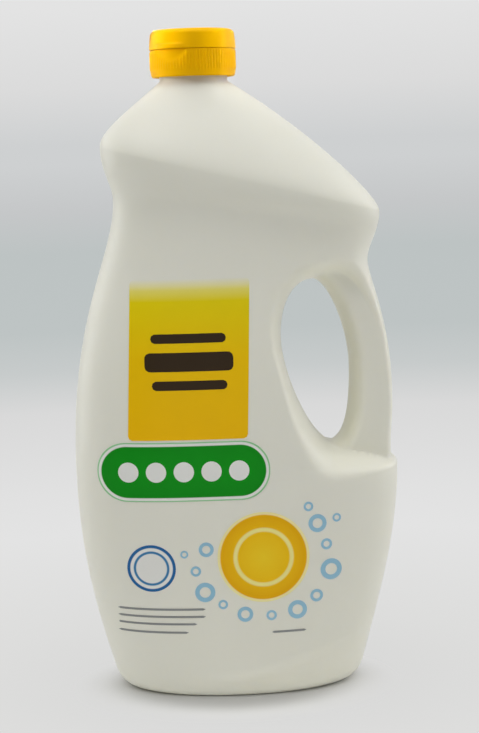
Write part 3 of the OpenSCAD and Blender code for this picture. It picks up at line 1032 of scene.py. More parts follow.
    def _by_the_grip(self, x: np.ndarray, z: np.ndarray, full: np.ndarray, inset: float) -> np.ndarray:
        """Thins the full half depth to the handle, the recess and the ledge.

        Args:
            x, z: Points of the wall.
            full: The half depths without a handle.
            inset: How far the wall is taken in.

        Returns:
            The half depths.
        """
        opening = self.opening
        away = np.maximum(opening.distance(x, z) - inset, self.edge_min)
        rounding = shelf(away / opening.grip_round, self.grip_power, 1)
        grip = soft_min(full, self.handle_half_d - inset, self.blend) * rounding
        beyond = np.maximum(opening.beyond(x, z) - inset, 0.0)
        body = full * shelf(beyond / opening.recess_width(x, z), self.recess_power, opening.crisp)
        return np.minimum(full, soft_max(grip, body, np.minimum(self.blend, np.minimum(grip, body))))

    def front(self, x: np.ndarray, z: np.ndarray) -> np.ndarray:
        """Gives the front wall's y at points below the leaning rows."""
        return -self.half_depth(x, z, z, z, 0.0)

    def _courses(self, on_handle: bool, rows: RowCounts, inset: float) -> tuple[Grid, Grid, Grid, Grid]:
        """Lays out the wall's rows.

        Args:
            on_handle: Whether they run on the handle's side of the slit.
            rows: How finely to cut.
            inset: How far the wall is taken in.

        Returns:
            Outer ends, slit ends, the heights at both sides, and which rows end on the opening.
        """
        low_z, high_z = self.opening.low[1] - inset, self.opening.high[1] + inset
        tips = np.array(rows.tips)
        heel = self._heel(self.base_left, self.heel_run)
        heel_z = np.interp(np.linspace(0, 1, rows.heel + 1)[1:], np.linspace(0, 1, len(heel)), heel[:, 1])
        under_z = self.ledge_z - self.ledge_lead
        belly = np.linspace(self.heel_h, under_z, rows.belly + 1)[1:]
        under = np.linspace(under_z, low_z - tips[-1], rows.ledge + 1)[1:]
        below = np.concatenate([heel_z, belly, under, (low_z - tips[:-1])[::-1]])
        between = np.linspace(low_z, high_z, rows.opening + 1)
        above = np.append((high_z + tips)[high_z + tips < self.lean_z - self.tip_room], self.lean_z)
        steady = np.linspace(0, 1, rows.lean + 1)[1:]
        lean = ease(steady) * self.lean_ease + steady * (1 - self.lean_ease)
        top = np.linspace(0, 1, rows.shoulder + 1)[1:] ** self.shoulder_crowd
        left_z, right_z = (
            np.concatenate([below, between, above, self.lean_z + (ridge_z - self.lean_z) * lean,
                            ridge_z + (self.neck_z - ridge_z) * top])
            for ridge_z in (self.ridge_left[1], self.ridge_right[1])
        )
        left = np.stack([-self.left(left_z) + inset, left_z], axis=1)
        right = np.stack([self.right(right_z) - inset, right_z], axis=1)
        slit = left + (right - left) * self.slit_share
        n, m = len(below), len(below) + len(between)
        pull = ease((below - (low_z - self.slit_lead)) / self.slit_lead)
        slit[:n, 0] += (self.opening.low[0] - slit[:n, 0]) * pull
        k = m + len(above)
        pull = 1 - ease((above - high_z) / (self.lean_z - high_z))
        slit[m:k, 0] += (self.opening.high[0] - slit[m:k, 0]) * pull
        slit[n:m] = self.opening.rim(on_handle, rows.opening, inset)
        is_open = np.zeros(len(left_z), bool)
        is_open[n:m] = True
        return (right if on_handle else left), slit, np.stack([left_z, right_z], axis=1), is_open

    def _side(self, on_handle: bool, rows: RowCounts, inset: float) -> Grid:
        """Gives one quarter of a wall, facing front.

        Args:
            on_handle: Whether it lies on the handle's side of the slit.
            rows: How finely to cut.
            inset: How far the wall is taken in.

        Returns:
            Rows of points from the heel up.
        """
        outer, slit, heights, is_open = self._courses(on_handle, rows, inset)
        share = crowd(self.handle_columns if on_handle else self.body_columns)[None, :, None]
        start, end = (slit, outer) if on_handle else (outer, slit)
        flat = start[:, None] + (end - start)[:, None] * share
        level = np.isclose(heights[:, 0], heights[:, 1])[:, None]
        x, z = flat[..., 0], flat[..., 1]
        z_left = np.where(level, z, heights[:, :1])
        z_right = np.where(level, z, heights[:, 1:])
        half = self.half_depth(x, z, z_left, z_right, inset)
        half[:, -1 if on_handle else 0] = 0
        half[is_open, 0 if on_handle else -1] = 0
        return np.stack([x, -half, np.maximum(z, inset)], axis=-1)

    def _base(self, on_handle: bool, inset: float) -> Grid:
        """Gives one quarter of the base.

        Args:
            on_handle: Whether it lies on the handle's side of the slit.
            inset: How far the wall is taken in.

        Returns:
            Rows of points from the middle line out to the standing ring.
        """
        share = crowd(self.handle_columns if on_handle else self.body_columns)
        share = self.slit_share + (1 - self.slit_share) * share if on_handle else self.slit_share * share
        end, beside = (-1, -2) if on_handle else (0, 1)
        square = self.square(0.0)
        bulge = np.maximum(0, 1 - np.abs(2 * share - 1) ** square) ** (1 / square)
        bulge[end] = 0
        made = []
        for taken_in, lift in INNER_BASE_STEPS if inset else BASE_STEPS:
            edge = taken_in + (self.ring_w + inset)
            left, right = -self.base_left + edge, self.base_right - edge
            x = left + (right - left) * share
            y = -(self.base_half_d - edge) * bulge
            made.append(np.stack([x, y, np.full_like(x, lift * self.push_up + inset)], axis=1))
        made[0][:, 1] = 0
        made[0][end] = made[0][beside]
        return np.array(made)

    def _wall(self, sheet: MeshSheet, rows: RowCounts, inset: float) -> Grid:
        """Adds a wall's four quarters.

        Args:
            sheet: The mesh to add to.
            rows: How finely to cut.
            inset: How far the wall is taken in.

        Returns:
            The wall's top row as a loop.
        """
        mirror = np.array([1, -1, 1])
        tops = []
        for on_handle in (False, True):
            quarter_rows = np.concatenate([self._base(on_handle, inset), self._side(on_handle, rows, inset)])
            for facing in (1, mirror):
                sheet.grid(quarter_rows * facing)
            tops.append(quarter_rows[-1])
        front = np.vstack([tops[0], tops[1][1:]])
        return np.vstack([front, (front * mirror)[::-1][1:-1]])

    def build(self) -> Piece:
        """Makes the hollow bottle.

        Returns:
            The piece.
        """
        sheet = MeshSheet()
        outer = self._wall(sheet, OUTER_ROWS, 0.0)
        inner = self._wall(sheet, INNER_ROWS, self.wall)
        top = self.neck_z + self.neck_h
        turn = np.arctan2(outer[:, 1], outer[:, 0] - self.neck_x)
        inward, up = self.foot_round
        profile = [
            (self.foot_r - inward, self.neck_z + up), (self.neck_r, self.neck_z + self.neck_start),
            *((self.neck_r + r, top + z) for r, z in self.lip_outside),
            *((self.bore_r + r, top + z) for r, z in self.lip_inside),
            *((self.bore_r + r, self.neck_z + z) for r, z in self.bore_foot),
        ]
        rings = [outer, *(polar(r, turn, z, self.neck_x) for r, z in profile), inner]
        sheet.grid(np.array(rings), closed_columns=True)
        return sheet.piece("bottle_shell", sharp=55)

    def thread(self) -> Piece:
        """Makes the screw thread on the neck.

        Returns:
            The piece.
        """
        turn = np.linspace(0, self.thread_turns * FULL_TURN, self.thread_steps)
        swell = ease(np.minimum(turn, turn[::-1]) / self.thread_run_out)
        points = []
        for out, up in self.thread_section:
            r = self.neck_r + np.where(out > 0, out * swell, out)
            z = self.neck_z + self.thread_z + self.thread_pitch * turn / FULL_TURN + up
            points.append(polar(r, turn, z, self.neck_x))
        sheet = MeshSheet()
        tube = np.array(points).transpose(1, 0, 2)
        sheet.grid(tube, closed_columns=True)
        for end in (tube[0], tube[-1]):
            sheet.grid(np.array([end[:2], end[[3, 2]]]))
        return sheet.piece("neck_thread")

    def dress(self, finish: Material) -> None:
        """Makes the bottle's pieces and dresses them."""
        finish_piece(self.build(), finish, Body.BOTTLE, ["bottle"])
        finish_piece(self.thread(), finish, Body.BOTTLE)


LID_SIDE = (0.05, 0.1, 0.16, 0.22, 0.27, 0.31, 0.35, 0.39, 0.43, 0.5, 0.65, 0.8)


@dataclass
class CapParts:
    """The screw skirt, flip lid and living hinge, on the neck's axis."""

    neck_x: float = -14.7
    turn: float = 36.0
    radius: float = 19.9
    rib_h: float = 0.3
    ribs: int = 84
    rib_steps: int = 8
    rib_gain: float = 1.25
    rib_drop: float = 0.1
    rib_start: Pair = (2.4, 1.6)
    rib_end: Pair = (0.4, 0.8)
    side_ends: Pair = (3.0, 0.3)
    side_rows: int = 12
    foot_flat: float = 0.45
    foot_in: float = 0.28
    foot_rise: float = 0.75
    seam_in: float = 0.15
    wall: float = 1.2
    low_z: float = 283.4
    seam_z: float = 295.8
    top_z: float = 305.0
    gap: float = 0.3
    deck_t: float = 1.5
    orifice_r: float = 4.6
    orifice_wall: float = 1.2
    collar_h: float = 3.7
    plug_r: float = 13.5
    plug_t: float = 0.9
    plug_depth: float = 4.0
    inner_r: float = 16.9
    inner_t: float = 0.9
    inner_lift: float = 1.5
    lid_round: float = 2.6
    lid_ease: float = 3.2
    lid_crown: float = 0.45
    lid_crown_power: float = 1.6
    lid_flat_r: float = 9.0
    lid_plug_gap: float = 1.5
    lid_steps: int = 360
    lip_r: float = 12.0
    lip_reach: float = 1.3
    lip_h: float = 2.7
    lip_run: float = 0.9
    lip_blend: float = 0.25
    lip_off: float = 0.6
    hinge_w: float = 12.0
    hinge_run: float = 0.35
    skirt_block: Pair = (3.4, 0.8)
    lid_block: Pair = (3.2, 0.6)
    bead_r: float = 0.5
    bead_end: Pair = (0.15, 0.75)
    bead_steps: int = 24
    web_reach: Pair = (-1.5, 1.6)
    web_half_t: float = 0.12
    web_thin: float = 0.4
    web_run: float = 0.8
    web_inset: float = 0.6
    web_fold: float = 0.5
    seam: float = 0.15
    scoop_angle: float = 0.5
    scoop_h: float = 6.5
    scoop_depth: float = 0.75
    scoop_rise: float = 1.6

    @property
    def hinge_out(self) -> float:
        """Distance of the hinge's axis from the neck's axis."""
        return self.radius + self.gap

    @property
    def hinge_z(self) -> float:
        """Height of the hinge's axis."""
        return self.seam_z + self.gap / 2

    def _place(self, points: Grid) -> Grid:
        """Turns points of the cap's own frame to their place on the neck.

        Args:
            points: The points.

        Returns:
            The points in the part's frame.
        """
        a = math.radians(-self.turn)
        x, y, z = points[..., 0], points[..., 1], points[..., 2]
        across = self.neck_x + x * math.cos(a) - y * math.sin(a)
        return np.stack([across, x * math.sin(a) + y * math.cos(a), z], axis=-1)

    def _hinge_block(self, turn: np.ndarray, base: float) -> np.ndarray:
        """Gives how far the flat hinge block stands out of a round wall.

        Args:
            turn: Angles round the cap.
            base: The wall's radius.

        Returns:
            The height over the wall at each angle.
        """
        off = np.minimum(angle_off(turn, HINGE_SIDE), WIDE_OFF)
        across = self.hinge_out * np.tan(off)
        flat = self.hinge_out / np.cos(off) - base
        return np.maximum(flat, 0) * ease((self.hinge_w / 2 + self.hinge_run - across) / (2 * self.hinge_run))

    def skirt(self) -> Piece:
        """Makes the ribbed screw skirt with its deck, plug seal and spout.

        Returns:
            The piece.
        """
        core, deck, inner = self.radius - self.rib_h, self.seam_z - self.deck_t, self.inner_r
        plug_in, spout = self.plug_r - self.plug_t, self.orifice_r + self.orifice_wall
        foot = self.low_z + self.inner_lift
        side_low, side_high = self.low_z + self.side_ends[0], self.seam_z - self.side_ends[1]
        side = [(core, z, 0.0) for z in np.linspace(side_low, side_high, self.side_rows)]
        profile = fillet([
            (self.orifice_r, deck, 0.2), (plug_in, deck, 0.2), (plug_in, deck - self.plug_depth, 0.25),
            (self.plug_r, deck - self.plug_depth, 0.4), (self.plug_r, deck, 0.2), (inner, deck, 0.2),
            (inner, foot, 0.3), (inner + self.inner_t, foot, 0.3), (inner + self.inner_t, deck, 0.1),
            (core - self.wall, deck, 0.1), (core - self.wall, self.low_z, 0.15),
            (core - self.wall + self.foot_flat, self.low_z, 0.2),
            (core - self.foot_in, self.low_z + self.foot_rise, 0.9),
            *side, (core - self.seam_in, self.seam_z, 0.12), (spout, self.seam_z, 0.5),
            (spout, self.seam_z + self.collar_h, 0.5), (self.orifice_r, self.seam_z + self.collar_h, 0.5),
        ])
        turn = circle(self.ribs * self.rib_steps)
        wave = 0.5 + 0.5 * np.cos(turn * self.ribs)
        r, z = profile[:, :1], profile[:, 1:]
        outer = (r > core - EDGE_TOUCH) & (z < self.seam_z - EDGE_TOUCH)
        (start, run_in), (end, run_out) = self.rib_start, self.rib_end
        fade = ease((z - self.low_z - start) / run_in) * ease((self.seam_z - end - z) / run_out)
        block, (height, run) = self._hinge_block(turn, core), self.skirt_block
        hold = ease((z - self.seam_z + height) / run) * ease((self.seam_z - z) / EDGE_TOUCH)
        ribs = self.rib_h * ease(wave * self.rib_gain - self.rib_drop) * fade * (block <= 0)
        off = angle_off(turn, THUMB_SIDE) / self.scoop_angle
        bowl = ease((1 - off**2 - ((self.seam_z - z) / self.scoop_h) ** 2) * self.scoop_rise)
        raised = np.maximum(ribs * (1 - np.minimum(2 * bowl, 1)), block * hold)
        out = np.where(outer, raised - self.scoop_depth * bowl, 0)
        sheet = MeshSheet()
        sheet.grid(self._place(polar(r + out, turn, z)), closed_rows=True, closed_columns=True)
        return sheet.piece("cap_skirt_ribbed", sharp=38)

    def lid(self) -> Piece:
        """Makes the flip lid with its thumb lip, plug and hinge block.

        Returns:
            The piece.
        """
        low, inside = self.seam_z + self.seam, self.top_z - self.deck_t
        plug = self.orifice_r - self.gap
        tip = self.seam_z + self.collar_h - self.lid_plug_gap
        top_side = self.top_z - self.lid_round
        side = [
            (self.radius - self.lid_crown * up**self.lid_crown_power, low + (top_side - low) * up, 0.0)
            for up in LID_SIDE
        ]
        shoulder = [(self.radius - self.lid_crown - self.lid_ease + self.lid_ease * math.cos(a),
                     top_side + self.lid_round * math.sin(a), 0.0)
                    for a in np.linspace(0, math.pi / 2, 10)]
        loop = fillet([
            (0.0, inside, 0.0), (plug - self.plug_t, inside, 0.2), (plug - self.plug_t, tip, 0.2),
            (plug, tip, 0.4), (plug, inside, 0.2), (self.radius - self.wall, inside, 0.6),
            (self.radius - self.wall, low, 0.15), (self.radius, low, 0.25), *side, *shoulder,
            (self.lid_flat_r, self.top_z, 0.0), (0.0, self.top_z, 0.0),
        ])
        turn = circle(self.lid_steps)
        r, z = loop[:, :1], loop[:, 1:]
        outer = (r > self.radius - self.lid_crown - 2 * EDGE_TOUCH) & (z < top_side)
        off = angle_off(turn, THUMB_SIDE)
        ahead = np.minimum(off, WIDE_OFF)
        set_in = self.radius + self.lip_reach - self.lip_r
        across = np.clip(set_in * np.sin(ahead) / self.lip_r, -1, 1)
        lip = set_in * np.cos(ahead) + self.lip_r * np.sqrt(1 - across**2) - self.radius
        lip = soft_max(lip, np.zeros_like(lip), self.lip_blend) * (off < self.lip_off)
        lip = lip * ease((low + self.lip_h - z) / self.lip_run)
        height, run = self.lid_block
        block = self._hinge_block(turn, self.radius) * ease((low + height - z) / run)
        points = self._relieve(polar(r + np.where(outer, np.maximum(lip, block), 0), turn, z))
        sheet = MeshSheet()
        sheet.grid(self._place(points), closed_columns=True)
        return sheet.piece("cap_lid_shell", sharp=38)

    def _relieve(self, points: Grid) -> Grid:
        """Lifts the lid's edge clear of the hinge bead.

        Args:
            points: The lid's points.

        Returns:
            The points with the edge lifted.
        """
        x, y, z = points[..., 0], points[..., 1], points[..., 2]
        room = self.bead_r + self.gap
        reach = np.sqrt(np.maximum(room**2 - (y - self.hinge_out) ** 2, 0))
        over = (np.abs(x) < self.hinge_w / 2 + self.gap) & (y > 0) & (reach > 0)
        lifted = np.where(over, np.maximum(z, self.hinge_z + reach), z)
        return np.stack([x, y, lifted], axis=-1)

    def bead(self) -> Piece:
        """Makes the round bar at the root of the hinge.

        Returns:
            The piece.
        """
        turn = circle(self.bead_steps)
        rows = []
        half, (inset, end) = self.hinge_w / 2, self.bead_end
        for x, share in [
            (-half, 0.0), (-half, end), (-half + inset, 1.0), (half - inset, 1.0), (half, end), (half, 0.0),
        ]:
            r = share * self.bead_r
            rows.append(np.stack([
                np.full_like(turn, x), self.hinge_out + r * np.cos(turn), self.hinge_z + r * np.sin(turn),
            ], axis=1))
        sheet = MeshSheet()
        sheet.grid(self._place(np.array(rows)), closed_columns=True)
        return sheet.piece("hinge_bead")

    def web(self) -> Piece:
        """Makes the thin strap that folds between skirt and lid.

        Returns:
            The piece.
        """
        up = np.linspace(*self.web_reach, 25)
        thick = self.web_half_t + self.web_half_t * ease((np.abs(up) - self.web_thin) / self.web_run)
        half = self.hinge_w / 2 - self.web_inset
        loop = np.concatenate([
            np.stack([self.hinge_out + thick, self.hinge_z + up], axis=1),
            np.stack([self.hinge_out - thick, self.hinge_z + up], axis=1)[::-1],
        ])
        rows = [np.column_stack([np.full(len(loop), x), loop]) for x in np.linspace(-half, half, 13)]
        sheet = MeshSheet()
        sheet.grid(self._place(np.array(rows)), closed_columns=True)
        n = len(up)
        for end in (rows[0], rows[-1]):
            sheet.grid(self._place(np.array([end[:n], end[n:][::-1]])))
        return sheet.piece("hinge_web")

    def web_span(self) -> tuple[Vector, Vector]:
        """Gives where the strap folds.

        Returns:
            The fold's two ends, in metres.
        """
        ends = [[0, self.hinge_out, self.hinge_z + way * self.web_fold] for way in (-1, 1)]
        low, high = self._place(np.array(ends)) * MM
        return Vector(low), Vector(high)

    def dress(self, finish: Material) -> None:
        """Makes the cap's pieces and dresses them.

        Args:
            finish: The cap's material.
        """
        finish_piece(self.skirt(), finish, Body.CAP, ["cap_skirt"])
        finish_piece(self.bead(), finish, Body.CAP)
        finish_piece(self.lid(), finish, Body.LID, ["cap_lid"])
        web = finish_piece(self.web(), finish, None)
        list(self.web_span())
        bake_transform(web)


@dataclass
class PrintedFront:
    """The print: thin films that follow the front wall.

    A bar is given by its middle, width, height and corner, and a round field by its middle and radius.
    """

    shell: BottleShell
    proud: float = 0.07
    buried: float = 0.12
    layer_t: float = 0.02
    edge_pitch: float = 1.5
    round_points: float = 6.0
    ring_pitch: float = 1.6
    least_rings: int = 3
    panel: Bar = (-22.0, 156.5, 54.0, 72.0, 2.0)
    slant: float = 0.045
    band: Bar = (-26.0, 106.0, 78.0, 27.0, 13.0)
    disc: Triple = (9.0, 65.5, 21.0)
    spot: Triple = (-42.0, 61.5, 11.0)
    bars: tuple[Bar, ...] = (
        (-22.0, 166.0, 34.0, 4.2, 2.0), (-22.0, 155.5, 40.0, 8.5, 2.4), (-22.0, 145.0, 34.0, 4.2, 2.0),
    )
    dot_r: float = 4.6
    dot_pitch: float = 12.5
    bubble_hole: float = 0.55
    bubbles: tuple[Triple, ...] = (
        (34, 80, 4.2), (38, 70, 2.6), (40, 58, 5.0), (33, 46, 3.0), (24, 40, 4.4), (12, 38, 2.4),
        (0, 39, 3.6), (-10, 44, 2.2), (-18, 50, 4.6), (-22, 60, 2.4), (-17, 70, 3.4), (-27, 68, 1.8),
        (43, 82, 2.0), (30, 88, 2.2),
    )
    rule_h: float = 1.0
    rule_corner: float = 0.45
    rules: tuple[Triple, ...] = ((-38, 42, 40), (-38, 38.5, 40), (-40, 35, 36), (-42, 31, 32), (20, 30, 16))

    def _bar(
        self, x: float, z: float, width: float, height: float, corner: float, slant: float = 0.0
    ) -> np.ndarray:
        """Draws a bar's rounded outline.

        Args:
            x, z: Its middle.
            width, height: Its size.
            corner: Its corners' rounding.
            slant: Its sideways shift for its rise.

        Returns:
            The outline's points.
        """
        points = []
        for k, (sx, sz) in enumerate([(1, 1), (-1, 1), (-1, -1), (1, -1)]):
            middle = np.array([x + sx * (width / 2 - corner), z + sz * (height / 2 - corner)])
            for a in np.radians(np.linspace(90 * k, 90 * k + 90, 13)):
                points.append(middle + corner * np.array([math.cos(a), math.sin(a)]))
        closed = np.array(points + points[:1])
        closed[:, 0] += slant * (closed[:, 1] - z)
        return even(closed, max(EDGE_STEPS, int(2 * (width + height) / self.edge_pitch)))[:-1]

    def _round(self, x: float, z: float, radius: float) -> np.ndarray:
        """Draws a circle's outline."""
        turn = circle(max(EDGE_STEPS, int(radius * self.round_points)))
        return np.stack([x + radius * np.cos(turn), z + radius * np.sin(turn)], axis=1)

    def _film(self, sheet: MeshSheet, outline: np.ndarray, over: float, hole: float) -> None:
        """Adds a film inside an outline.

        Args:
            sheet: The mesh to add to.
            outline: The edge, as x and z.
            over: Extra height above the first layer of print.
            hole: Share of the outline that is left open in the middle.
        """
        middle = outline.mean(axis=0)
        reach = np.linalg.norm(outline - middle, axis=1).max()
        shares = np.linspace(hole, 1, max(self.least_rings, int(reach / self.ring_pitch)) + 1)
        flat = middle + shares[:, None, None] * (outline - middle)[None]
        x, z = flat[..., 0], flat[..., 1]
        y = self.shell.front(x, z)
        face = np.stack([x, y - self.proud - over, z], axis=-1)
        back = np.stack([x, y + self.buried, z], axis=-1)
        sheet.grid(np.concatenate([face, back[::-1]]), closed_rows=hole > 0, closed_columns=True)

    def films(self, name: str, outlines: Sequence[np.ndarray], over: float, hole: float) -> Piece:
        """Makes one piece of print from outlines of one ink.

        Args:
            name: The piece's name.
            outlines: The fields' edges.
            over: Extra height above the first layer of print.
            hole: Share of each outline left open in its middle.

        Returns:
            The piece.
        """
        sheet = MeshSheet()
        for outline in outlines:
            self._film(sheet, outline, over, hole)
        return sheet.piece(name, sharp=60)

    def dress(self, effects: SharedEffects) -> None:
        """Makes the print's pieces and dresses them, each on its layer.

        Args:
            effects: The shared groups.
        """
        x, z = self.band[:2]
        dots = [self._round(x + self.dot_pitch * k, z, self.dot_r) for k in (-2, -1, 0, 1, 2)]
        panel, bars = self._bar(*self.panel, self.slant), [self._bar(*bar) for bar in self.bars]
        bubbles = [self._round(*bubble) for bubble in self.bubbles]
        rules = [self._bar(*rule, self.rule_h, self.rule_corner) for rule in self.rules]
        for name, outlines, layer, ink, slot, *replaced in [
            ("print_panel_film", [panel], 0, PANEL_INK, Slot.YELLOW_INK, "print_panel"),
            ("print_band_film", [self._bar(*self.band)], 1, BAND_INK, Slot.GREEN_INK, "print_band"),
            ("print_disc_film", [self._round(*self.disc)], 1, DISC_INK, Slot.AMBER_INK, "print_disc"),
            ("print_spot_film", [self._round(*self.spot)], 0, SPOT_INK, Slot.BLUE_INK, "print_spot"),
            ("print_bars", bars, 2, DARK_INK, Slot.GREEN_INK),
            ("print_dots", dots, 3, WHITE_INK, Slot.GREEN_INK),
            ("print_bubbles", bubbles, 0, WATER_INK, Slot.BLUE_INK),
            ("print_rules", rules, 0, GREY_INK, Slot.BLUE_INK),
        ]:
            hole = self.bubble_hole if outlines is bubbles else 0.0
            piece = self.films(name, outlines, layer * self.layer_t, hole)
            finish_piece(piece, ink.build(effects), Body.BOTTLE, replaced)


@dataclass(frozen=True)
class SoftLamp:
    """A soft lamp that faces the bottle, in metres, watts and degrees."""

    name: str
    place: Triple
    size: Pair
    power: float
    aim_z: float = 0.15
    spread: float = WIDE_LIGHT

    def hang(self) -> None:
        """Hangs the lamp; a narrow one leaves no glint."""
        data = bpy.data.lights.new(self.name, "AREA")
        data.shape = "RECTANGLE"
        data.size, data.size_y = self.size
        data.energy = self.power
        data.spread = math.radians(self.spread)
        made = bpy.data.objects.new(self.name, data)
        made.location = self.place
        made.visible_glossy = self.spread >= WIDE_LIGHT
        towards = Vector((0, 0, self.aim_z)) - Vector(self.place)
        made.rotation_euler = towards.to_track_quat("-Z", "Y").to_euler()
        bpy.context.scene.collection.objects.link(made)


LAMPS = (
    SoftLamp("left_softbox", (-0.85, 0.4, 0.4), (0.7, 0.9), 3.0),
    SoftLamp("right_softbox", (0.9, 0.25, 0.4), (0.7, 0.9), 3.0),
    SoftLamp("top_softbox", (0.0, -0.25, 1.2), (1.3, 0.9), 9.2),
    SoftLamp("front_fill", (-0.1, -1.4, 0.3), (1.0, 0.6), 1.0),
    SoftLamp("left_cap_light", (-0.6, 0.02, 0.42), (0.06, 0.06), 0.018, aim_z=0.315, spread=8.0),
    SoftLamp("right_cap_light", (0.57, 0.02, 0.42), (0.06, 0.06), 0.010, aim_z=0.315, spread=8.0),
)
# The seen floor's tone by distance: its stops below 0.27 darken it close round the bottle as painted shade,
# and the rest is the backdrop's own tone.
FLOOR_TONES = (
    (0.0, srgb(213, 213, 212)), (0.12, srgb(221, 221, 220)), (0.27, srgb(227, 227, 227)),
    (0.34, srgb(225, 225, 225)), (0.49, srgb(217, 217, 217)), (0.565, srgb(199, 203, 203)),
    (0.64, srgb(190, 196, 196)), (0.79, srgb(189, 195, 195)), (0.87, srgb(197, 199, 200)),
    (0.96, srgb(206, 208, 209)),
)
SKY_TONES = ((0.0, srgb(206, 208, 209)), (0.28, srgb(219, 219, 219)), (0.67, srgb(227, 227, 227)))


@dataclass
class Studio:
    """Camera, pale floor, world and soft lamps."""

    eye: Triple = (-45.4, -917.9, 254.0)
    heading: Pair = (0.05234, 0.99863)
    pitch: float = 6.56
    roll: float = 1.7
    focal: float = 1970.0
    sight: Pair = (0.01, 60.0)
    floor_rings: tuple[float, ...] = (0.0, 0.2, 0.5, 1.2, 3.0, 7.0, 16.0, 45.0)
    floor_steps: int = 96
    floor_pale: Colour = srgb(252, 252, 251)
    # The darker floor colour below is a painted shadow, which the seen floor takes just in front of the
    # bottle.
    floor_painted_shadow: Colour = srgb(186, 186, 184)
    floor_gloss: float = 0.85
    floor_shine: float = 0.1
    painted_shadow_shift: Triple = (0.08, 0.286, 0.0)
    painted_shadow_scale: Triple = (20.8, 23.8, 1.0)
    painted_shadow_span: tuple[float, ...] = (0.75, 1.4, 1.0, 0.3)
    fade_span: Pair = (0.95, 1.6)
    sky_light: Colour = srgb(250, 251, 255)
    sky_level: float = 0.18
    sky_rise: float = 0.1

    def camera(self) -> None:
        """Sets the camera at the photograph's viewing angle."""
        down = math.radians(self.pitch)
        ahead = [part * math.cos(down) for part in self.heading]
        forward = Vector((*ahead, -math.sin(down)))
        right = forward.cross(Vector((0, 0, 1))).normalized()
        up = right.cross(forward)
        a = math.radians(self.roll)
        side, top = right * math.cos(a) - up * math.sin(a), up * math.cos(a) + right * math.sin(a)
        data = bpy.data.cameras.new("studio_camera")
        data.sensor_width = SENSOR
        data.lens = self.focal * SENSOR / PHOTO_TALL
        data.clip_start, data.clip_end = self.sight
        made = bpy.data.objects.new("studio_camera", data)
        frame_axes = Matrix((side, top, -forward)).transposed().to_4x4()
        made.matrix_world = Matrix.Translation(Vector(self.eye) * MM) @ frame_axes
        bpy.context.scene.collection.objects.link(made)
        bpy.context.scene.camera = made

    def _floor_finish(self) -> Material:
        """Makes the floor's finish: lit and shadowed by the lamps near the bottle, with a painted shadow in
        an oval just in front of it, and an even backdrop far off.

        Returns:
            The material.
        """
        material, sheet, inputs = blank("pale_floor")
        nodes = material.node_tree.nodes
        far = sheet.add("VectorMath", {0: sheet.spot()}, operation="LENGTH").outputs["Value"]
        tone = sheet.ramp(sheet.math("DIVIDE", far, sheet.math("ADD", far, 1.0)), FLOOR_TONES)
        sees = sheet.looks()
        # Painted shadow: the seen floor turns to the darker colour in an oval just in front of the bottle,
        # and keeps a 0.3 share of it further off.
        oval = sheet.add("Mapping", {0: sheet.spot(), 1: self.painted_shadow_shift, 3: self.painted_shadow_scale}).outputs[0]
        out = sheet.add("VectorMath", {0: oval}, operation="LENGTH").outputs["Value"]
        near = sheet.span(out, *self.painted_shadow_span, interpolation_type="SMOOTHSTEP")
        pale = sheet.mix(sheet.math("MULTIPLY", sees, near), self.floor_pale, self.floor_painted_shadow)
        sheet.tree.links.new(pale, inputs["Base Color"])
        inputs["Roughness"].default_value = self.floor_gloss
        inputs["Specular IOR Level"].default_value = self.floor_shine
        lit, shown = nodes["Principled BSDF"].outputs[0], sheet.add("Emission", {"Color": tone}).outputs[0]
        fade = sheet.span(out, *self.fade_span, interpolation_type="SMOOTHSTEP")
        mixed = sheet.add("MixShader", {0: sheet.math("MULTIPLY", sees, fade), 1: lit, 2: shown}).outputs[0]
        sheet.tree.links.new(mixed, nodes["Material Output"].inputs["Surface"])
        return material

    def floor(self) -> None:
        """Lays the pale floor."""
        sheet = MeshSheet()
        rows = [polar(r, circle(self.floor_steps), 0.0) / MM for r in self.floor_rings]
        sheet.grid(np.array(rows), closed_columns=True)
        made = sheet.piece("studio_floor")
        if made.data.polygons[0].normal.z < 0:
            made.data.flip_normals()
        made.data.materials.append(self._floor_finish())

    def world(self) -> None:
        """Sets an even world light, with a pale backdrop for the eye."""
        world = bpy.data.worlds.new("studio_world")
        world.use_nodes = True
        bpy.context.scene.world = world
        sheet, nodes = Sheet(world.node_tree), world.node_tree.nodes
        lit = nodes["Background"]
        lit.inputs["Color"].default_value = self.sky_light
        lit.inputs["Strength"].default_value = self.sky_level
        height = sheet.add("SeparateXYZ", {0: sheet.add("TexCoord").outputs["Generated"]}).outputs["Z"]
        tone = sheet.ramp(sheet.span(height, 0.0, self.sky_rise), SKY_TONES)
        seen = sheet.add("Background", {"Color": tone})
        mixed = sheet.add("MixShader", {0: sheet.looks(), 1: lit.outputs[0], 2: seen.outputs[0]})
        sheet.tree.links.new(mixed.outputs[0], nodes["World Output"].inputs["Surface"])

    def build(self) -> None:
        """Sets the whole studio."""
        bpy.context.scene.view_settings.view_transform = "Standard"
        self.camera()
        self.floor()
        self.world()
        for lamp in LAMPS:
            lamp.hang()


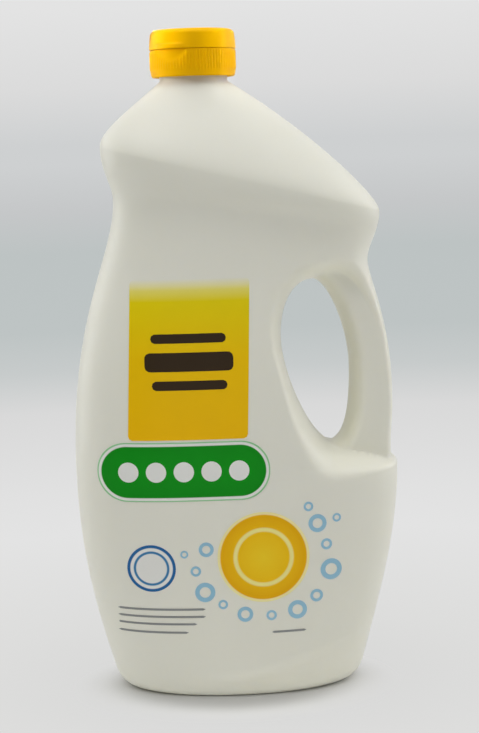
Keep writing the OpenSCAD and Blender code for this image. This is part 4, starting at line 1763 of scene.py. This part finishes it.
WHITE_PLASTIC = PlasticFinish(
    name="white_polyethylene", main=srgb(243, 241, 225), second=srgb(240, 238, 221), gloss=(0.36, 0.46),
    grain=1500.0, bump=0.16, depth=0.25, glow=(1.0, 0.9, 0.7), shine=0.4, seam=0.35,
)
YELLOW_PLASTIC = PlasticFinish(
    name="yellow_polypropylene", main=srgb(252, 190, 0), second=srgb(250, 184, 0), gloss=(0.32, 0.42),
    grain=2600.0, bump=0.14, depth=0.1, glow=(1.0, 0.6, 0.1), shine=0.05,
)
WHITE, RING, RIM = srgb(238, 238, 232), srgb(60, 130, 180), srgb(40, 105, 165)
PALE_AMBER = srgb(252, 238, 150)
PANEL_INK = InkFinish(
    name="yellow_ink", fill=Fill.FADE, centre=(-22.0, 156.5), reach=(27.0, 36.0),
    stops=((0.0, srgb(250, 194, 0)), (0.5, srgb(244, 198, 0)), (0.86, srgb(236, 214, 8)),
           (0.93, srgb(240, 228, 112)), (1.0, srgb(243, 241, 225))),
)
BAND_INK = InkFinish(
    name="green_ink", fill=Fill.EDGED, centre=(-26.0, 106.0), reach=(39.0, 13.5),
    stops=((0.0, srgb(8, 152, 22)), (0.86, srgb(6, 142, 20)), (0.88, WHITE), (0.95, WHITE),
           (0.97, srgb(150, 210, 150))),
)
DISC_INK = InkFinish(
    name="amber_ink", fill=Fill.RINGS, centre=(9.0, 65.5), reach=(21.0, 21.0),
    stops=((0.0, srgb(252, 214, 40)), (0.55, srgb(248, 198, 16)), (0.58, PALE_AMBER), (0.64, PALE_AMBER),
           (0.67, srgb(246, 192, 8)), (0.93, srgb(240, 178, 0)), (0.95, srgb(253, 240, 170))),
)
SPOT_INK = InkFinish(
    name="blue_ink", fill=Fill.RINGS, centre=(-42.0, 61.5), reach=(11.0, 11.0),
    stops=((0.0, WHITE), (0.62, WHITE), (0.65, RING), (0.72, RING), (0.75, WHITE), (0.86, WHITE),
           (0.89, RIM), (1.0, RIM)),
)
DARK_INK = InkFinish(name="dark_ink", stops=((0.0, srgb(46, 32, 16)), (1.0, srgb(54, 40, 20))))
WHITE_INK = InkFinish(name="white_ink", stops=((0.0, srgb(240, 240, 234)), (1.0, srgb(236, 237, 232))))
WATER_INK = InkFinish(name="water_ink", stops=((0.0, srgb(140, 192, 218)), (1.0, srgb(170, 208, 226))))
GREY_INK = InkFinish(name="grey_ink", stops=((0.0, srgb(140, 142, 140)), (1.0, srgb(150, 152, 150))))


def main() -> None:
    """Builds the studio and each piece in turn."""
    logging.basicConfig(level=logging.INFO, format="%(message)s")
    Studio().build()
    effects = SharedEffects()
    white, yellow = WHITE_PLASTIC.build(effects), YELLOW_PLASTIC.build(effects)
    shell = BottleShell()
    shell.dress(white)
    PrintedFront(shell).dress(effects)
    CapParts().dress(yellow)
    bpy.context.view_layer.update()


if __name__ == "__main__":
    main()
